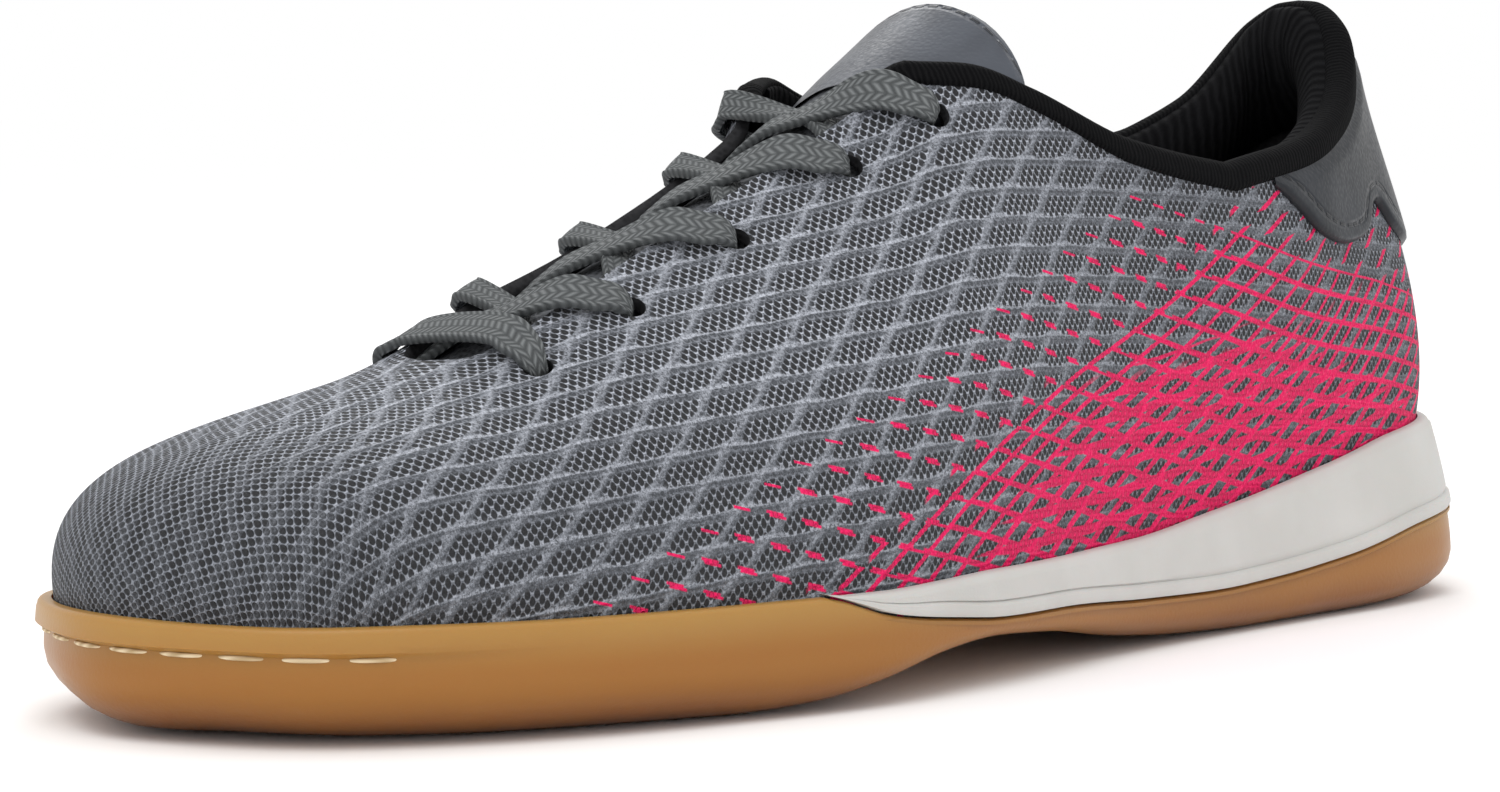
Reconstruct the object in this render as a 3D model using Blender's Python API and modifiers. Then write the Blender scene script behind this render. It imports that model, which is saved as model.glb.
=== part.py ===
"""A low indoor soccer shoe for the left foot, built as the assembly of its real pieces.

The toe points to -X, the heel to +X, the outer (lateral) side to -Y and the inner (medial) side to +Y.
The floor is z = 0, and the origin is the middle of the sole's outline on the floor.
Tables hold one row for each section. Their lengths are shares of the named sizes above them.
"""

import math

import bmesh
import bpy
import numpy as np
from mathutils import Matrix, Vector

# Overall sizes, in metres
LENGTH = 0.288
BALL_WIDTH = 0.103

# Sole
TOE_RIM_HEIGHT = 0.0168
HEEL_RIM_HEIGHT = 0.032
FOREFOOT_BED = 0.0085
HEEL_BED = 0.0225
ARCH_LIFT = 0.0072
TOE_SPRING = 0.0006
RIM_WALL = 0.0020
BOTTOM_ROUND = 0.0075
BOTTOM_ROUND_HEIGHT = 0.0042
BUMPER_OVERHANG = 0.0011
STEP_RISE = 0.0008
RIM_ROUND = 0.0006
HEEL_TAPER = 0.0047
GROOVE_WIDTH = 0.0022
GROOVE_DEPTH = 0.0011
GROOVE_PITCH = 0.0088
GROOVE_MARGIN = 0.0020
GROOVE_CHEVRON = 0.0060
GROOVE_STRETCHES = ((0.130, 0.300), (0.725, 0.935))

# Upper
WALL = 0.0022
THROAT_HEIGHT = 0.0500
INSTEP_HEIGHT = 0.0910
ANKLE_HEIGHT = 0.0740
HEEL_HEIGHT = 0.1025
FOOT_BULGE = 0.0035
MEDIAL_DROP = 0.0038
THROAT_HALF = 0.0120
EYELET_RADIUS = 0.0022
EYELET_INSET = 0.0075
RIB_FULLNESS = 1.12

# Pieces on and in the upper
INSOLE_THICKNESS = 0.0040
INSOLE_BEVEL = 0.0010
TONGUE_HEIGHT = 0.1035
TONGUE_THICKNESS = 0.0048
TONGUE_HALF_WIDTH = 0.0215
TONGUE_ARCH_RADIUS = 0.0215
COLLAR_PAD = 0.0072
COLLAR_DEPTH = 0.0240
BINDING_HEIGHT = 0.0032
TAB_THICKNESS = 0.0012
TAB_TOP_SHARE = 0.995
LACE_WIDTH = 0.0066
LACE_THICKNESS = 0.0014
LACE_STAND = 0.0009
LACE_CLEARANCE = 0.0042
LACE_SLACK = 0.0002
LACE_PILE = 0.85 * LACE_THICKNESS
LACE_CHAMFER_SHARE = 0.18
LACE_TILT = 0.45
LACE_ROLL = 0.6
LACE_OUT_SHARE = 0.52
LACE_IN_SHARE = 0.65
BAR_SETBACK = 0.0010
TONGUE_EDGE_THINNING = 0.55

# Clearance between neighbouring pieces
GAP = 0.0003

# How far a cutter reaches past what it cuts
CUTTER_MARGIN = 0.02

# Resolution
SIDE_STEPS = 40
STATION_CROWDING = 0.03
LEVEL_SAMPLES = 41
THROAT_SAMPLES = 60
RIB_STEPS = 8
DENSE_STEPS = 24
TAB_STEPS = (36, 4)
TONGUE_STEPS = (20, 8)
LACE_STEPS = 4


def table(columns, *rows):
    """A table with named columns, as a dictionary from each name to its values."""
    return dict(zip(columns.split(), np.array(rows, dtype=float).T))


# Sole outline: half widths as shares of the ball width, along the length from the toe tip.
OUTLINE = table(
    "along lateral medial",
    (0.035, 0.214, 0.308),
    (0.088, 0.330, 0.398),
    (0.176, 0.427, 0.476),
    (0.282, 0.485, 0.495),
    (0.352, 0.505, 0.466),
    (0.458, 0.476, 0.398),
    (0.563, 0.417, 0.325),
    (0.669, 0.379, 0.300),
    (0.775, 0.359, 0.322),
    (0.863, 0.345, 0.335),
    (0.926, 0.306, 0.306),
    (0.965, 0.228, 0.233),
    (0.989, 0.121, 0.126),
)
TOE_TIP_SHIFT = 0.052

# Sole heights. spring, arch: shares of the toe spring and the arch lift. rim: from the toe rim to the heel
# rim. split: gum height as a share of the toe rim. step: bumper step and midsole rib, share of the toe rim.
# overhang: of the bumper. bed: from the forefoot bed to the heel bed. taper: of the heel taper.
# round: how far the bottom edge is rounded, as a share of the bottom round.
SOLE_SECTIONS = table(
    "along spring arch rim split step overhang bed taper round",
    (0.000, 1.00, 0.00, 0.04, 1.90, 0.78, 1.6, 0.10, 0.14, 1.65),
    (0.015, 0.90, 0.00, 0.02, 1.85, 0.78, 1.4, 0.07, 0.13, 2.20),
    (0.040, 0.70, 0.00, 0.01, 1.75, 0.77, 1.2, 0.04, 0.11, 2.30),
    (0.080, 0.40, 0.00, 0.01, 1.65, 0.76, 0.9, 0.01, 0.10, 2.20),
    (0.160, 0.00, 0.00, 0.00, 1.45, 0.76, 0.1, 0.00, 0.10, 2.10),
    (0.260, 0.00, 0.00, 0.00, 1.18, 0.74, 0.0, 0.02, 0.10, 1.60),
    (0.315, 0.00, 0.18, 0.00, 0.96, 0.72, 0.0, 0.10, 0.10, 1.10),
    (0.348, 0.00, 0.40, 0.00, 0.79, 0.72, 0.0, 0.18, 0.10, 1.00),
    (0.400, 0.00, 0.85, 0.03, 0.68, 0.76, 0.2, 0.30, 0.10, 0.75),
    (0.440, 0.00, 1.00, 0.05, 0.62, 0.76, 0.5, 0.36, 0.12, 0.55),
    (0.500, 0.00, 0.86, 0.05, 0.60, 0.73, 0.5, 0.42, 0.16, 0.55),
    (0.590, 0.00, 0.34, 0.08, 0.51, 0.64, 0.5, 0.50, 0.30, 0.80),
    (0.670, 0.00, 0.06, 0.22, 0.47, 0.60, 0.5, 0.58, 0.50, 1.00),
    (0.720, 0.00, 0.00, 0.34, 0.50, 0.63, 0.5, 0.66, 0.62, 1.00),
    (0.800, 0.00, 0.00, 0.58, 0.61, 0.74, 0.5, 0.80, 0.80, 1.00),
    (0.880, 0.00, 0.00, 0.84, 0.82, 0.95, 0.5, 0.93, 1.00, 1.20),
    (0.940, 0.00, 0.00, 0.95, 0.93, 1.06, 0.5, 1.00, 1.00, 1.80),
    (1.000, 0.08, 0.00, 1.00, 1.02, 1.15, 0.5, 1.00, 1.00, 2.30),
)

# Upper, one row for each rib. around: from the heel (0) to the toe (1) on either side. along, half_width,
# level: the top edge, as shares of length and ball width, and 0 throat, 1 instep, 2 ankle, 3 heel top.
# rise, reach: the rib's fullness at its foot and top, shares of its height and length. lean: in degrees.
UPPER_SECTIONS = table(
    "around along half_width level rise bulge lean reach",
    (0.000, 0.917, 0.000, 3.000, 0.37, 1.00, 83.0, 0.27),
    (0.030, 0.9152, 0.041, 2.988, 0.37, 1.00, 83.0, 0.27),
    (0.080, 0.905, 0.107, 2.866, 0.37, 1.00, 83.0, 0.28),
    (0.150, 0.873, 0.189, 2.516, 0.37, 1.00, 83.0, 0.32),
    (0.200, 0.835, 0.243, 2.298, 0.37, 0.95, 83.0, 0.35),
    (0.270, 0.785, 0.286, 2.137, 0.37, 0.90, 82.0, 0.37),
    (0.350, 0.704, 0.311, 2.000, 0.37, 0.86, 81.0, 0.37),
    (0.440, 0.616, 0.301, 1.735, 0.36, 0.80, 78.0, 0.35),
    (0.500, 0.546, 0.267, 1.259, 0.35, 0.70, 72.0, 0.33),
    (0.540, 0.504, 0.235, 1.035, 0.35, 0.60, 66.0, 0.33),
    (0.565, 0.472, 0.184, 1.000, 0.36, 0.57, 58.0, 0.34),
    (0.590, 0.447, 0.134, 0.878, 0.38, 0.57, 50.0, 0.36),
    (0.620, 0.405, 0.120, 0.720, 0.40, 0.57, 46.0, 0.37),
    (0.680, 0.328, 0.112, 0.463, 0.42, 0.57, 41.0, 0.38),
    (0.750, 0.257, 0.111, 0.232, 0.44, 0.51, 34.0, 0.43),
    (0.810, 0.215, 0.098, 0.073, 0.50, 0.46, 28.0, 0.48),
    (0.890, 0.197, 0.064, 0.012, 0.64, 0.75, 21.0, 0.50),
    (1.000, 0.190, 0.000, 0.000, 0.68, 1.00, 19.5, 0.50),
)

# Middle line of the top edge: its shift towards the medial side, as a share of the ball width, and how
# much lower its medial edge lies than the lateral one, as a share of the medial drop.
MIDDLE_LINE = table(
    "along shift drop",
    (0.00, 0.058, 0.00),
    (0.15, 0.005, 0.00),
    (0.21, -0.010, 0.20),
    (0.33, -0.020, 1.00),
    (0.45, -0.028, 1.00),
    (0.52, -0.012, 0.40),
    (0.62, 0.000, 0.00),
    (0.79, 0.000, 0.20),
    (0.84, 0.000, 0.95),
    (0.87, 0.000, 0.95),
    (0.91, 0.000, 0.10),
    (1.00, 0.000, 0.00),
)

# Eyelet holes: where along the ribs, and how far in from the throat edge in eyelet insets.
EYELETS = table(
    "around inset",
    (0.797, 1.00),
    (0.728, 1.00),
    (0.662, 1.00),
    (0.605, 1.00),
    (0.562, 1.00),
)

# Heel tab: its lower edge on each side, from the middle of the heel, as a level between the sole rim (0)
# and the upper's top edge (1). Three lobes, with a notch between each two.
HEEL_TAB_EDGE = table(
    "around level",
    (0.000, 0.420),
    (0.060, 0.430),
    (0.100, 0.485),
    (0.125, 0.560),
    (0.150, 0.680),
    (0.162, 0.690),
    (0.180, 0.640),
    (0.205, 0.655),
    (0.235, 0.700),
    (0.265, 0.770),
    (0.290, 0.860),
    (0.315, 0.955),
)

# Tongue: its crown from the throat height (0) to the tongue height (1), its half width and thickness, and
# how strongly it arches across, as shares of the named sizes.
TONGUE_SECTIONS = table(
    "along crown half_width thickness arch",
    (0.165, -0.140, 0.45, 0.45, 0.80),
    (0.190, -0.075, 0.58, 0.55, 0.80),
    (0.205, -0.030, 0.64, 0.62, 0.82),
    (0.225, 0.030, 0.67, 0.65, 0.90),
    (0.262, 0.128, 0.69, 0.70, 1.00),
    (0.328, 0.290, 0.71, 0.80, 1.12),
    (0.405, 0.482, 0.73, 0.90, 1.18),
    (0.460, 0.650, 0.78, 1.00, 1.08),
    (0.510, 0.813, 0.88, 1.00, 1.00),
    (0.545, 0.921, 0.96, 1.00, 1.00),
    (0.570, 1.000, 1.00, 0.90, 1.00),
)

# Collar: how far round it runs, its padding and its depth down the lining, as shares of the named sizes.
COLLAR_SECTIONS = table(
    "around pad depth",
    (0.000, 1.00, 1.00),
    (0.150, 1.00, 1.00),
    (0.350, 0.82, 0.90),
    (0.440, 0.60, 0.75),
    (0.500, 0.36, 0.55),
    (0.555, 0.22, 0.40),
)

LATERAL, MEDIAL = -1, 1

GUM = (0.39, 0.17, 0.045, 1.0)
WHITE = (0.60, 0.58, 0.55, 1.0)
MESH_GREY = (0.14, 0.15, 0.17, 1.0)
TONGUE_GREY = (0.12, 0.13, 0.14, 1.0)
TAB_GREY = (0.18, 0.19, 0.22, 1.0)
LINING_BLACK = (0.006, 0.006, 0.007, 1.0)
LACE_GREY = (0.12, 0.13, 0.13, 1.0)


def smooth(stations, values, at):
    """A curve through the values that never swings past them, read at one place or at several."""
    at = np.clip(at, stations[0], stations[-1])
    step = np.diff(stations)
    slope = np.diff(values) / step
    tangent = np.zeros(len(values))
    tangent[0], tangent[-1] = slope[0], slope[-1]
    weight_a = 2 * step[1:] + step[:-1]
    weight_b = step[1:] + 2 * step[:-1]
    same_way = slope[:-1] * slope[1:] > 0
    inner = np.zeros(len(slope) - 1)
    inner[same_way] = (weight_a + weight_b)[same_way] / (
        weight_a[same_way] / slope[:-1][same_way] + weight_b[same_way] / slope[1:][same_way]
    )
    tangent[1:-1] = inner
    piece = np.clip(np.searchsorted(stations, at, side="right") - 1, 0, len(step) - 1)
    share = (at - stations[piece]) / step[piece]
    return (
        values[piece] * (1 + 2 * share) * (1 - share) ** 2
        + values[piece + 1] * (3 - 2 * share) * share**2
        + tangent[piece] * step[piece] * share * (1 - share) ** 2
        - tangent[piece + 1] * step[piece] * share**2 * (1 - share)
    )


def read(source, column, at):
    """A column of a table, read between its rows by the table's first column."""
    first = next(iter(source))
    return smooth(source[first], source[column], at)


def blend(low, high, share):
    return low + (high - low) * share


def catmull(points, steps, closed):
    """A smooth line through the points, with the given number of steps to each stretch."""
    points = np.array(points, dtype=float)
    count = len(points)
    line = []
    for i in range(count if closed else count - 1):
        if closed:
            p = [points[(i + k) % count] for k in (-1, 0, 1, 2)]
        else:
            before = points[i - 1] if i else 2 * points[0] - points[1]
            after = points[i + 2] if i + 2 < count else 2 * points[-1] - points[-2]
            p = [before, points[i], points[i + 1], after]
        gap = [np.linalg.norm(p[k + 1] - p[k]) ** 0.5 for k in range(3)]
        start = (p[1] - p[0]) / gap[0] - (p[2] - p[0]) / (gap[0] + gap[1]) + (p[2] - p[1]) / gap[1]
        end = (p[2] - p[1]) / gap[1] - (p[3] - p[1]) / (gap[1] + gap[2]) + (p[3] - p[2]) / gap[2]
        start, end = start * gap[1], end * gap[1]
        for k in range(steps):
            t = k / steps
            line.append(
                (2 * t**3 - 3 * t**2 + 1) * p[1]
                + (t**3 - 2 * t**2 + t) * start
                + (3 * t**2 - 2 * t**3) * p[2]
                + (t**3 - t**2) * end
            )
    if not closed:
        line.append(points[-1])
    return np.array(line)


def outline_sides():
    """The sole's outline as one dense line for each side, from the heel tip to the toe tip.

    Each side has its points, its outward directions and the share of the way round at each point.
    """
    x = (OUTLINE["along"] - 0.5) * LENGTH
    toe_tip = (-LENGTH / 2, TOE_TIP_SHIFT * BALL_WIDTH)
    heel_tip = (LENGTH / 2, 0.0)
    lateral = list(zip(x[::-1], -OUTLINE["lateral"][::-1] * BALL_WIDTH))
    medial = list(zip(x, OUTLINE["medial"] * BALL_WIDTH))
    loop = catmull([heel_tip] + lateral + [toe_tip] + medial, DENSE_STEPS, True)
    loop[:, 1] -= (loop[:, 1].max() + loop[:, 1].min()) / 2
    along = np.roll(loop, -1, axis=0) - np.roll(loop, 1, axis=0)
    along /= np.linalg.norm(along, axis=1)[:, None]
    outward = np.stack([along[:, 1], -along[:, 0]], axis=1)
    if np.dot(outward[0], loop[0]) < 0:
        outward = -outward
    tip = (len(lateral) + 1) * DENSE_STEPS
    sides = {}
    for side, order in (
        (LATERAL, np.arange(tip + 1)),
        (MEDIAL, np.arange(len(loop), tip - 1, -1) % len(loop)),
    ):
        points = loop[order]
        run = np.concatenate([[0], np.cumsum(np.linalg.norm(np.diff(points, axis=0), axis=1))])
        sides[side] = (points, outward[order], run / run[-1])
    return sides


SIDES = outline_sides()


def outline_point(side, around, inset=0.0):
    """A point of the outline and its outward direction, moved in by inset."""
    points, outward, share = SIDES[side]
    point = np.array([np.interp(around, share, points[:, k]) for k in (0, 1)])
    out = np.array([np.interp(around, share, outward[:, k]) for k in (0, 1)])
    out /= np.linalg.norm(out)
    return point - inset * out, out


def stations(steps=SIDE_STEPS):
    """Where the ribs stand on one side, from the heel to the toe, closer together at both ends."""
    even = np.linspace(0.0, 1.0, steps + 1)
    return even - STATION_CROWDING * np.sin(2 * math.pi * even)


def loop_order(steps=SIDE_STEPS):
    """Every rib of the whole shoe as (side, around): lateral from heel to toe, then medial back again."""
    places = stations(steps)
    lateral = [(LATERAL, around) for around in places]
    medial = [(MEDIAL, around) for around in places[-2:0:-1]]
    return lateral + medial


def share_along(x):
    return x / LENGTH + 0.5


def sole_height(column, x):
    """A height of the sole's side at x: its bottom, split, step, rim or bed."""
    along = share_along(x)
    if column == "bottom":
        spring = TOE_SPRING * read(SOLE_SECTIONS, "spring", along)
        return spring + ARCH_LIFT * read(SOLE_SECTIONS, "arch", along)
    share = read(SOLE_SECTIONS, column, along)
    if column == "rim":
        return blend(TOE_RIM_HEIGHT, HEEL_RIM_HEIGHT, share)
    if column == "bed":
        return blend(FOREFOOT_BED, HEEL_BED, share)
    return TOE_RIM_HEIGHT * share


def rim_inset(x):
    return HEEL_TAPER * read(SOLE_SECTIONS, "taper", share_along(x))


def upper_foot(side, around):
    """Where a rib leaves the sole: on the upper's outer skin at the height of the rim."""
    x = outline_point(side, around)[0][0]
    inset = rim_inset(x) + RIM_WALL + GAP
    point, out = outline_point(side, around, inset)
    return Vector((*point, sole_height("rim", x))), Vector((*out, 0.0))


def upper_top(side, around):
    """The top edge of a rib: throat edge in front, collar edge behind."""
    along = read(UPPER_SECTIONS, "along", around)
    level = read(UPPER_SECTIONS, "level", around)
    heights = (THROAT_HEIGHT, INSTEP_HEIGHT, ANKLE_HEIGHT, HEEL_HEIGHT)
    half = BALL_WIDTH * read(UPPER_SECTIONS, "half_width", around)
    middle = BALL_WIDTH * read(MIDDLE_LINE, "shift", along)
    height = np.interp(level, range(len(heights)), heights)
    lower = MEDIAL_DROP * read(MIDDLE_LINE, "drop", along) * (0.5 + 0.5 * side * min(half / THROAT_HALF, 1))
    return Vector(((along - 0.5) * LENGTH, middle + side * half, height - lower))


def rib(side, around, share):
    """A point of the upper's outer skin: share 0 at the sole's rim, 1 at the top edge."""
    foot, out = upper_foot(side, around)
    top = upper_top(side, around)
    rise = read(UPPER_SECTIONS, "rise", around) * (top.z - foot.z)
    bulge = read(UPPER_SECTIONS, "bulge", around) * FOOT_BULGE
    lean = math.radians(float(read(UPPER_SECTIONS, "lean", around)))
    reach = read(UPPER_SECTIONS, "reach", around) * (top - foot).length
    low = foot + Vector((0, 0, rise)) + out * bulge
    high = top + (out * math.cos(lean) - Vector((0, 0, math.sin(lean)))) * reach
    rest = 1 - share
    return foot * rest**3 + low * 3 * rest**2 * share + high * 3 * rest * share**2 + top * share**3


def wrap(side, around):
    """A place past the heel or toe tip belongs to the other side."""
    if around < 0:
        return -side, -around
    if around > 1:
        return -side, 2 - around
    return side, around


def upper_frame(side, around, share):
    """A point of the outer skin, its outward normal and its direction up the rib."""
    nudge = 0.004
    point = rib(side, around, share)
    up = rib(side, around, min(share + nudge, 1)) - rib(side, around, max(share - nudge, 0))
    ahead = rib(*wrap(side, around + nudge), share) - rib(*wrap(side, around - nudge), share)
    normal = ahead.cross(up) * side
    return point, normal.normalized(), up.normalized()


def shares(steps=RIB_STEPS):
    return [k / steps for k in range(steps + 1)]


def new_object(name, shape, collection):
    """A mesh object from a bmesh, with its faces turned outwards."""
    bmesh.ops.recalc_face_normals(shape, faces=shape.faces)
    mesh = bpy.data.meshes.new(name)
    shape.to_mesh(mesh)
    shape.free()
    piece = bpy.data.objects.new(name, mesh)
    collection.objects.link(piece)
    return piece


def add_rings(shape, rings, closed):
    """Vertices for each ring, and four-sided faces between neighbouring rings."""
    rows = [[shape.verts.new(point) for point in ring] for ring in rings]
    count = len(rows[0])
    for low, high in zip(rows, rows[1:]):
        for i in range(count if closed else count - 1):
            j = (i + 1) % count
            shape.faces.new((low[i], low[j], high[j], high[i]))
    return rows


def add_ladder(shape, ring):
    """Closes a loop round the shoe with rungs from its lateral to its medial side."""
    count = len(ring)
    for i in range(count // 2):
        corners = [ring[i], ring[i + 1], ring[(count - i - 1) % count], ring[(count - i) % count]]
        shape.faces.new(list(dict.fromkeys(corners)))


def tube(name, rings, collection):
    """A closed solid through rings of points, with a flat face over each end."""
    shape = bmesh.new()
    rows = add_rings(shape, rings, True)
    shape.faces.new(rows[0])
    shape.faces.new(rows[-1])
    return new_object(name, shape, collection)


def sheet_solid(name, top, bottom, collection):
    """A closed solid between two grids of points of the same size."""
    shape = bmesh.new()
    upper_rows = add_rings(shape, top, False)
    lower_rows = add_rings(shape, bottom, False)
    edge_top = upper_rows[0] + [row[-1] for row in upper_rows[1:]]
    edge_top += upper_rows[-1][-2::-1] + [row[0] for row in upper_rows[-2:0:-1]]
    edge_bottom = lower_rows[0] + [row[-1] for row in lower_rows[1:]]
    edge_bottom += lower_rows[-1][-2::-1] + [row[0] for row in lower_rows[-2:0:-1]]
    count = len(edge_top)
    for i in range(count):
        j = (i + 1) % count
        shape.faces.new((edge_top[i], edge_top[j], edge_bottom[j], edge_bottom[i]))
    return new_object(name, shape, collection)


def boolean(piece, cutter, operation):
    modifier = piece.modifiers.new(operation.title(), "BOOLEAN")
    modifier.operation = operation
    modifier.object = cutter
    modifier.solver = "EXACT"


def hide_cutter(cutter):
    cutter.hide_render = True
    cutter.display_type = "WIRE"


def set_material(piece, name, colour, roughness, metallic=0.0):
    material = bpy.data.materials.new(name)
    material.use_nodes = True
    shader = material.node_tree.nodes["Principled BSDF"]
    shader.inputs["Base Color"].default_value = colour
    shader.inputs["Roughness"].default_value = roughness
    shader.inputs["Metallic"].default_value = metallic
    piece.data.materials.append(material)


def shade_smooth(piece, angle=40):
    piece.data.shade_smooth()
    piece.data.set_sharp_from_angle(angle=math.radians(angle))


def overhang(x):
    return BUMPER_OVERHANG * read(SOLE_SECTIONS, "overhang", share_along(x))


def rounding(x):
    return read(SOLE_SECTIONS, "round", share_along(x))


def tread_inset(x):
    """How far in from the outline the flat underside starts."""
    return BOTTOM_ROUND * rounding(x) + overhang(x)


def sole_block(name, collection):
    """The whole sole in one closed piece: rounded bottom edge, side with its step, rim and footbed."""

    def ring(inset, height):
        points = []
        for side, around in loop_order():
            x = outline_point(side, around)[0][0]
            point = outline_point(side, around, inset(x))[0]
            points.append((*point, height(x)))
        return points

    def bottom(x):
        return sole_height("bottom", x)

    def rim(x):
        return sole_height("rim", x)

    def step(x):
        return sole_height("step", x)

    def side_inset(x, z):
        """The side leans in towards the rim where the heel tapers."""
        low = bottom(x) + BOTTOM_ROUND_HEIGHT * rounding(x)
        share = np.clip((z - low) / (rim(x) - low), 0, 1)
        return rim_inset(x) * share**1.5

    rings = [ring(tread_inset, bottom)]
    for degrees in (30, 60, 90):
        across = 1 - math.sin(math.radians(degrees))
        lift = 1 - math.cos(math.radians(degrees))
        rings.append(
            ring(
                lambda x, a=across: BOTTOM_ROUND * rounding(x) * a + overhang(x),
                lambda x, h=lift: bottom(x) + BOTTOM_ROUND_HEIGHT * rounding(x) * h,
            )
        )
    rings.append(ring(lambda x: side_inset(x, step(x)) + overhang(x), step))
    rings.append(ring(lambda x: side_inset(x, step(x)), lambda x: step(x) + STEP_RISE))
    rings.append(ring(rim_inset, lambda x: rim(x) - RIM_ROUND))
    rings.append(ring(lambda x: rim_inset(x) + RIM_ROUND, rim))
    rings.append(ring(lambda x: rim_inset(x) + RIM_WALL, rim))
    rings.append(ring(lambda x: rim_inset(x) + RIM_WALL, lambda x: sole_height("bed", x)))
    shape = bmesh.new()
    rows = add_rings(shape, rings, True)
    add_ladder(shape, rows[0])
    add_ladder(shape, rows[-1])
    return new_object(name, shape, collection)


def side_profile_cutter(name, lift, collection):
    """A block whose underside is the split line between gum and foam, raised by lift."""
    margin = CUTTER_MARGIN
    xs = np.linspace(-LENGTH / 2 - margin, LENGTH / 2 + margin, SIDE_STEPS + 1)
    line = [(x, sole_height("split", np.clip(x, -LENGTH / 2, LENGTH / 2)) + lift) for x in xs]
    top = HEEL_RIM_HEIGHT + margin
    profile = [(xs[0], top)] + line + [(xs[-1], top)]
    half = BALL_WIDTH / 2 + margin
    cutter = tube(name, [[(x, y, z) for x, z in profile] for y in (-half, half)], collection)
    hide_cutter(cutter)
    return cutter


def groove_cutters(collection):
    """Chevron grooves across the forefoot and the heel, which leave the tread's lugs between them."""
    cutters = []
    for first, last in GROOVE_STRETCHES:
        count = round((last - first) * LENGTH / GROOVE_PITCH)
        for k in range(count + 1):
            x = (blend(first, last, k / count) - 0.5) * LENGTH
            lateral = -BALL_WIDTH * smooth(OUTLINE["along"], OUTLINE["lateral"], share_along(x))
            medial = BALL_WIDTH * smooth(OUTLINE["along"], OUTLINE["medial"], share_along(x))
            lateral += tread_inset(x) + GROOVE_MARGIN
            medial -= tread_inset(x) + GROOVE_MARGIN
            middle = (lateral + medial) / 2
            half = GROOVE_WIDTH / 2
            ends = x + GROOVE_CHEVRON - half
            front = [(ends, lateral), (x - half, middle), (ends, medial)]
            back = [(px + 2 * half, py) for px, py in front[::-1]]
            tread = sole_height("bottom", x)
            heights = (tread - GROOVE_DEPTH, tread + GROOVE_DEPTH)
            rings = [[(px, py, z) for px, py in front + back] for z in heights]
            cutter = tube(f"tread_groove_cutter_{len(cutters) + 1}", rings, collection)
            hide_cutter(cutter)
            cutters.append(cutter)
    return cutters


def build_soles(parts, cutters):
    outsole = sole_block("outsole", parts)
    boolean(outsole, side_profile_cutter("foam_cutter", 0.0, cutters), "DIFFERENCE")
    for cutter in groove_cutters(cutters):
        boolean(outsole, cutter, "DIFFERENCE")
    set_material(outsole, "gum_rubber", GUM, 0.42)
    midsole = sole_block("midsole", parts)
    boolean(midsole, side_profile_cutter("gum_cutter", GAP, cutters), "INTERSECT")
    set_material(midsole, "white_foam", WHITE, 0.6)
    for piece in (outsole, midsole):
        shade_smooth(piece)


def build_upper(parts, cutters):
    """The upper's outer skin as an open band from the footbed to its top edge, then its wall inwards."""
    places = loop_order()
    bed_row = []
    for side, around in places:
        foot = upper_foot(side, around)[0]
        x = outline_point(side, around)[0][0]
        bed_row.append(Vector((foot.x, foot.y, sole_height("bed", x) + GAP)))
    rings = [bed_row] + [[rib(side, around, share) for side, around in places] for share in shares()]
    shape = bmesh.new()
    add_rings(shape, rings, True)
    upper = new_object("upper", shape, parts)
    solid = upper.modifiers.new("Wall", "SOLIDIFY")
    solid.thickness = WALL
    solid.offset = -1
    solid.use_even_offset = True
    for number, (side, point, normal) in enumerate(eyelet_places(), 1):
        bpy.ops.mesh.primitive_cylinder_add(vertices=12, radius=EYELET_RADIUS, depth=6 * WALL)
        cutter = bpy.context.active_object
        cutter.name = f"eyelet_cutter_{number}"
        cutter.matrix_world = Matrix.Translation(point) @ normal.to_track_quat("Z", "Y").to_matrix().to_4x4()
        for holder in cutter.users_collection:
            holder.objects.unlink(cutter)
        cutters.objects.link(cutter)
        hide_cutter(cutter)
        boolean(upper, cutter, "DIFFERENCE")
    set_material(upper, "mesh_grey", MESH_GREY, 0.6)
    shade_smooth(upper)


def eyelet_place(side, number):
    """The middle of an eyelet on the outer skin, and the skin's normal there."""
    around = EYELETS["around"][number]
    run = (upper_top(side, around) - upper_foot(side, around)[0]).length * RIB_FULLNESS
    point, normal, _ = upper_frame(side, around, 1 - EYELET_INSET * EYELETS["inset"][number] / run)
    return point, normal


def eyelet_places():
    for number in range(len(EYELETS["around"])):
        for side in (LATERAL, MEDIAL):
            point, normal = eyelet_place(side, number)
            yield side, point, normal


def build_insole(parts):
    """A flat sock liner that lies on the footbed inside the upper's wall."""
    rings = []
    lower_edge = INSOLE_THICKNESS - INSOLE_BEVEL
    for inset, lift in ((0.0, GAP), (0.0, lower_edge), (INSOLE_BEVEL, INSOLE_THICKNESS)):
        ring = []
        for side, around in loop_order():
            x = outline_point(side, around)[0][0]
            clear = rim_inset(x) + RIM_WALL + GAP + WALL + 2 * GAP
            point = outline_point(side, around, clear + inset)[0]
            ring.append((*point, sole_height("bed", x) + lift))
        rings.append(ring)
    shape = bmesh.new()
    rows = add_rings(shape, rings, True)
    add_ladder(shape, rows[0])
    add_ladder(shape, rows[-1])
    insole = new_object("insole", shape, parts)
    set_material(insole, "insole_black", LINING_BLACK, 0.8)
    shade_smooth(insole)


def tongue_surface(along, across):
    """A point on top of the tongue. across runs from -1 at the lateral edge to 1 at the medial edge."""
    x = (along - 0.5) * LENGTH
    half = TONGUE_HALF_WIDTH * read(TONGUE_SECTIONS, "half_width", along)
    crown = blend(THROAT_HEIGHT, TONGUE_HEIGHT, read(TONGUE_SECTIONS, "crown", along))
    middle = BALL_WIDTH * read(MIDDLE_LINE, "shift", along)
    arch = read(TONGUE_SECTIONS, "arch", along) / (2 * TONGUE_ARCH_RADIUS)
    tilt = MEDIAL_DROP * read(MIDDLE_LINE, "drop", along) / (2 * THROAT_HALF)
    y = across * half
    return Vector((x, middle + y, crown - arch * y * y - tilt * y))


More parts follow.
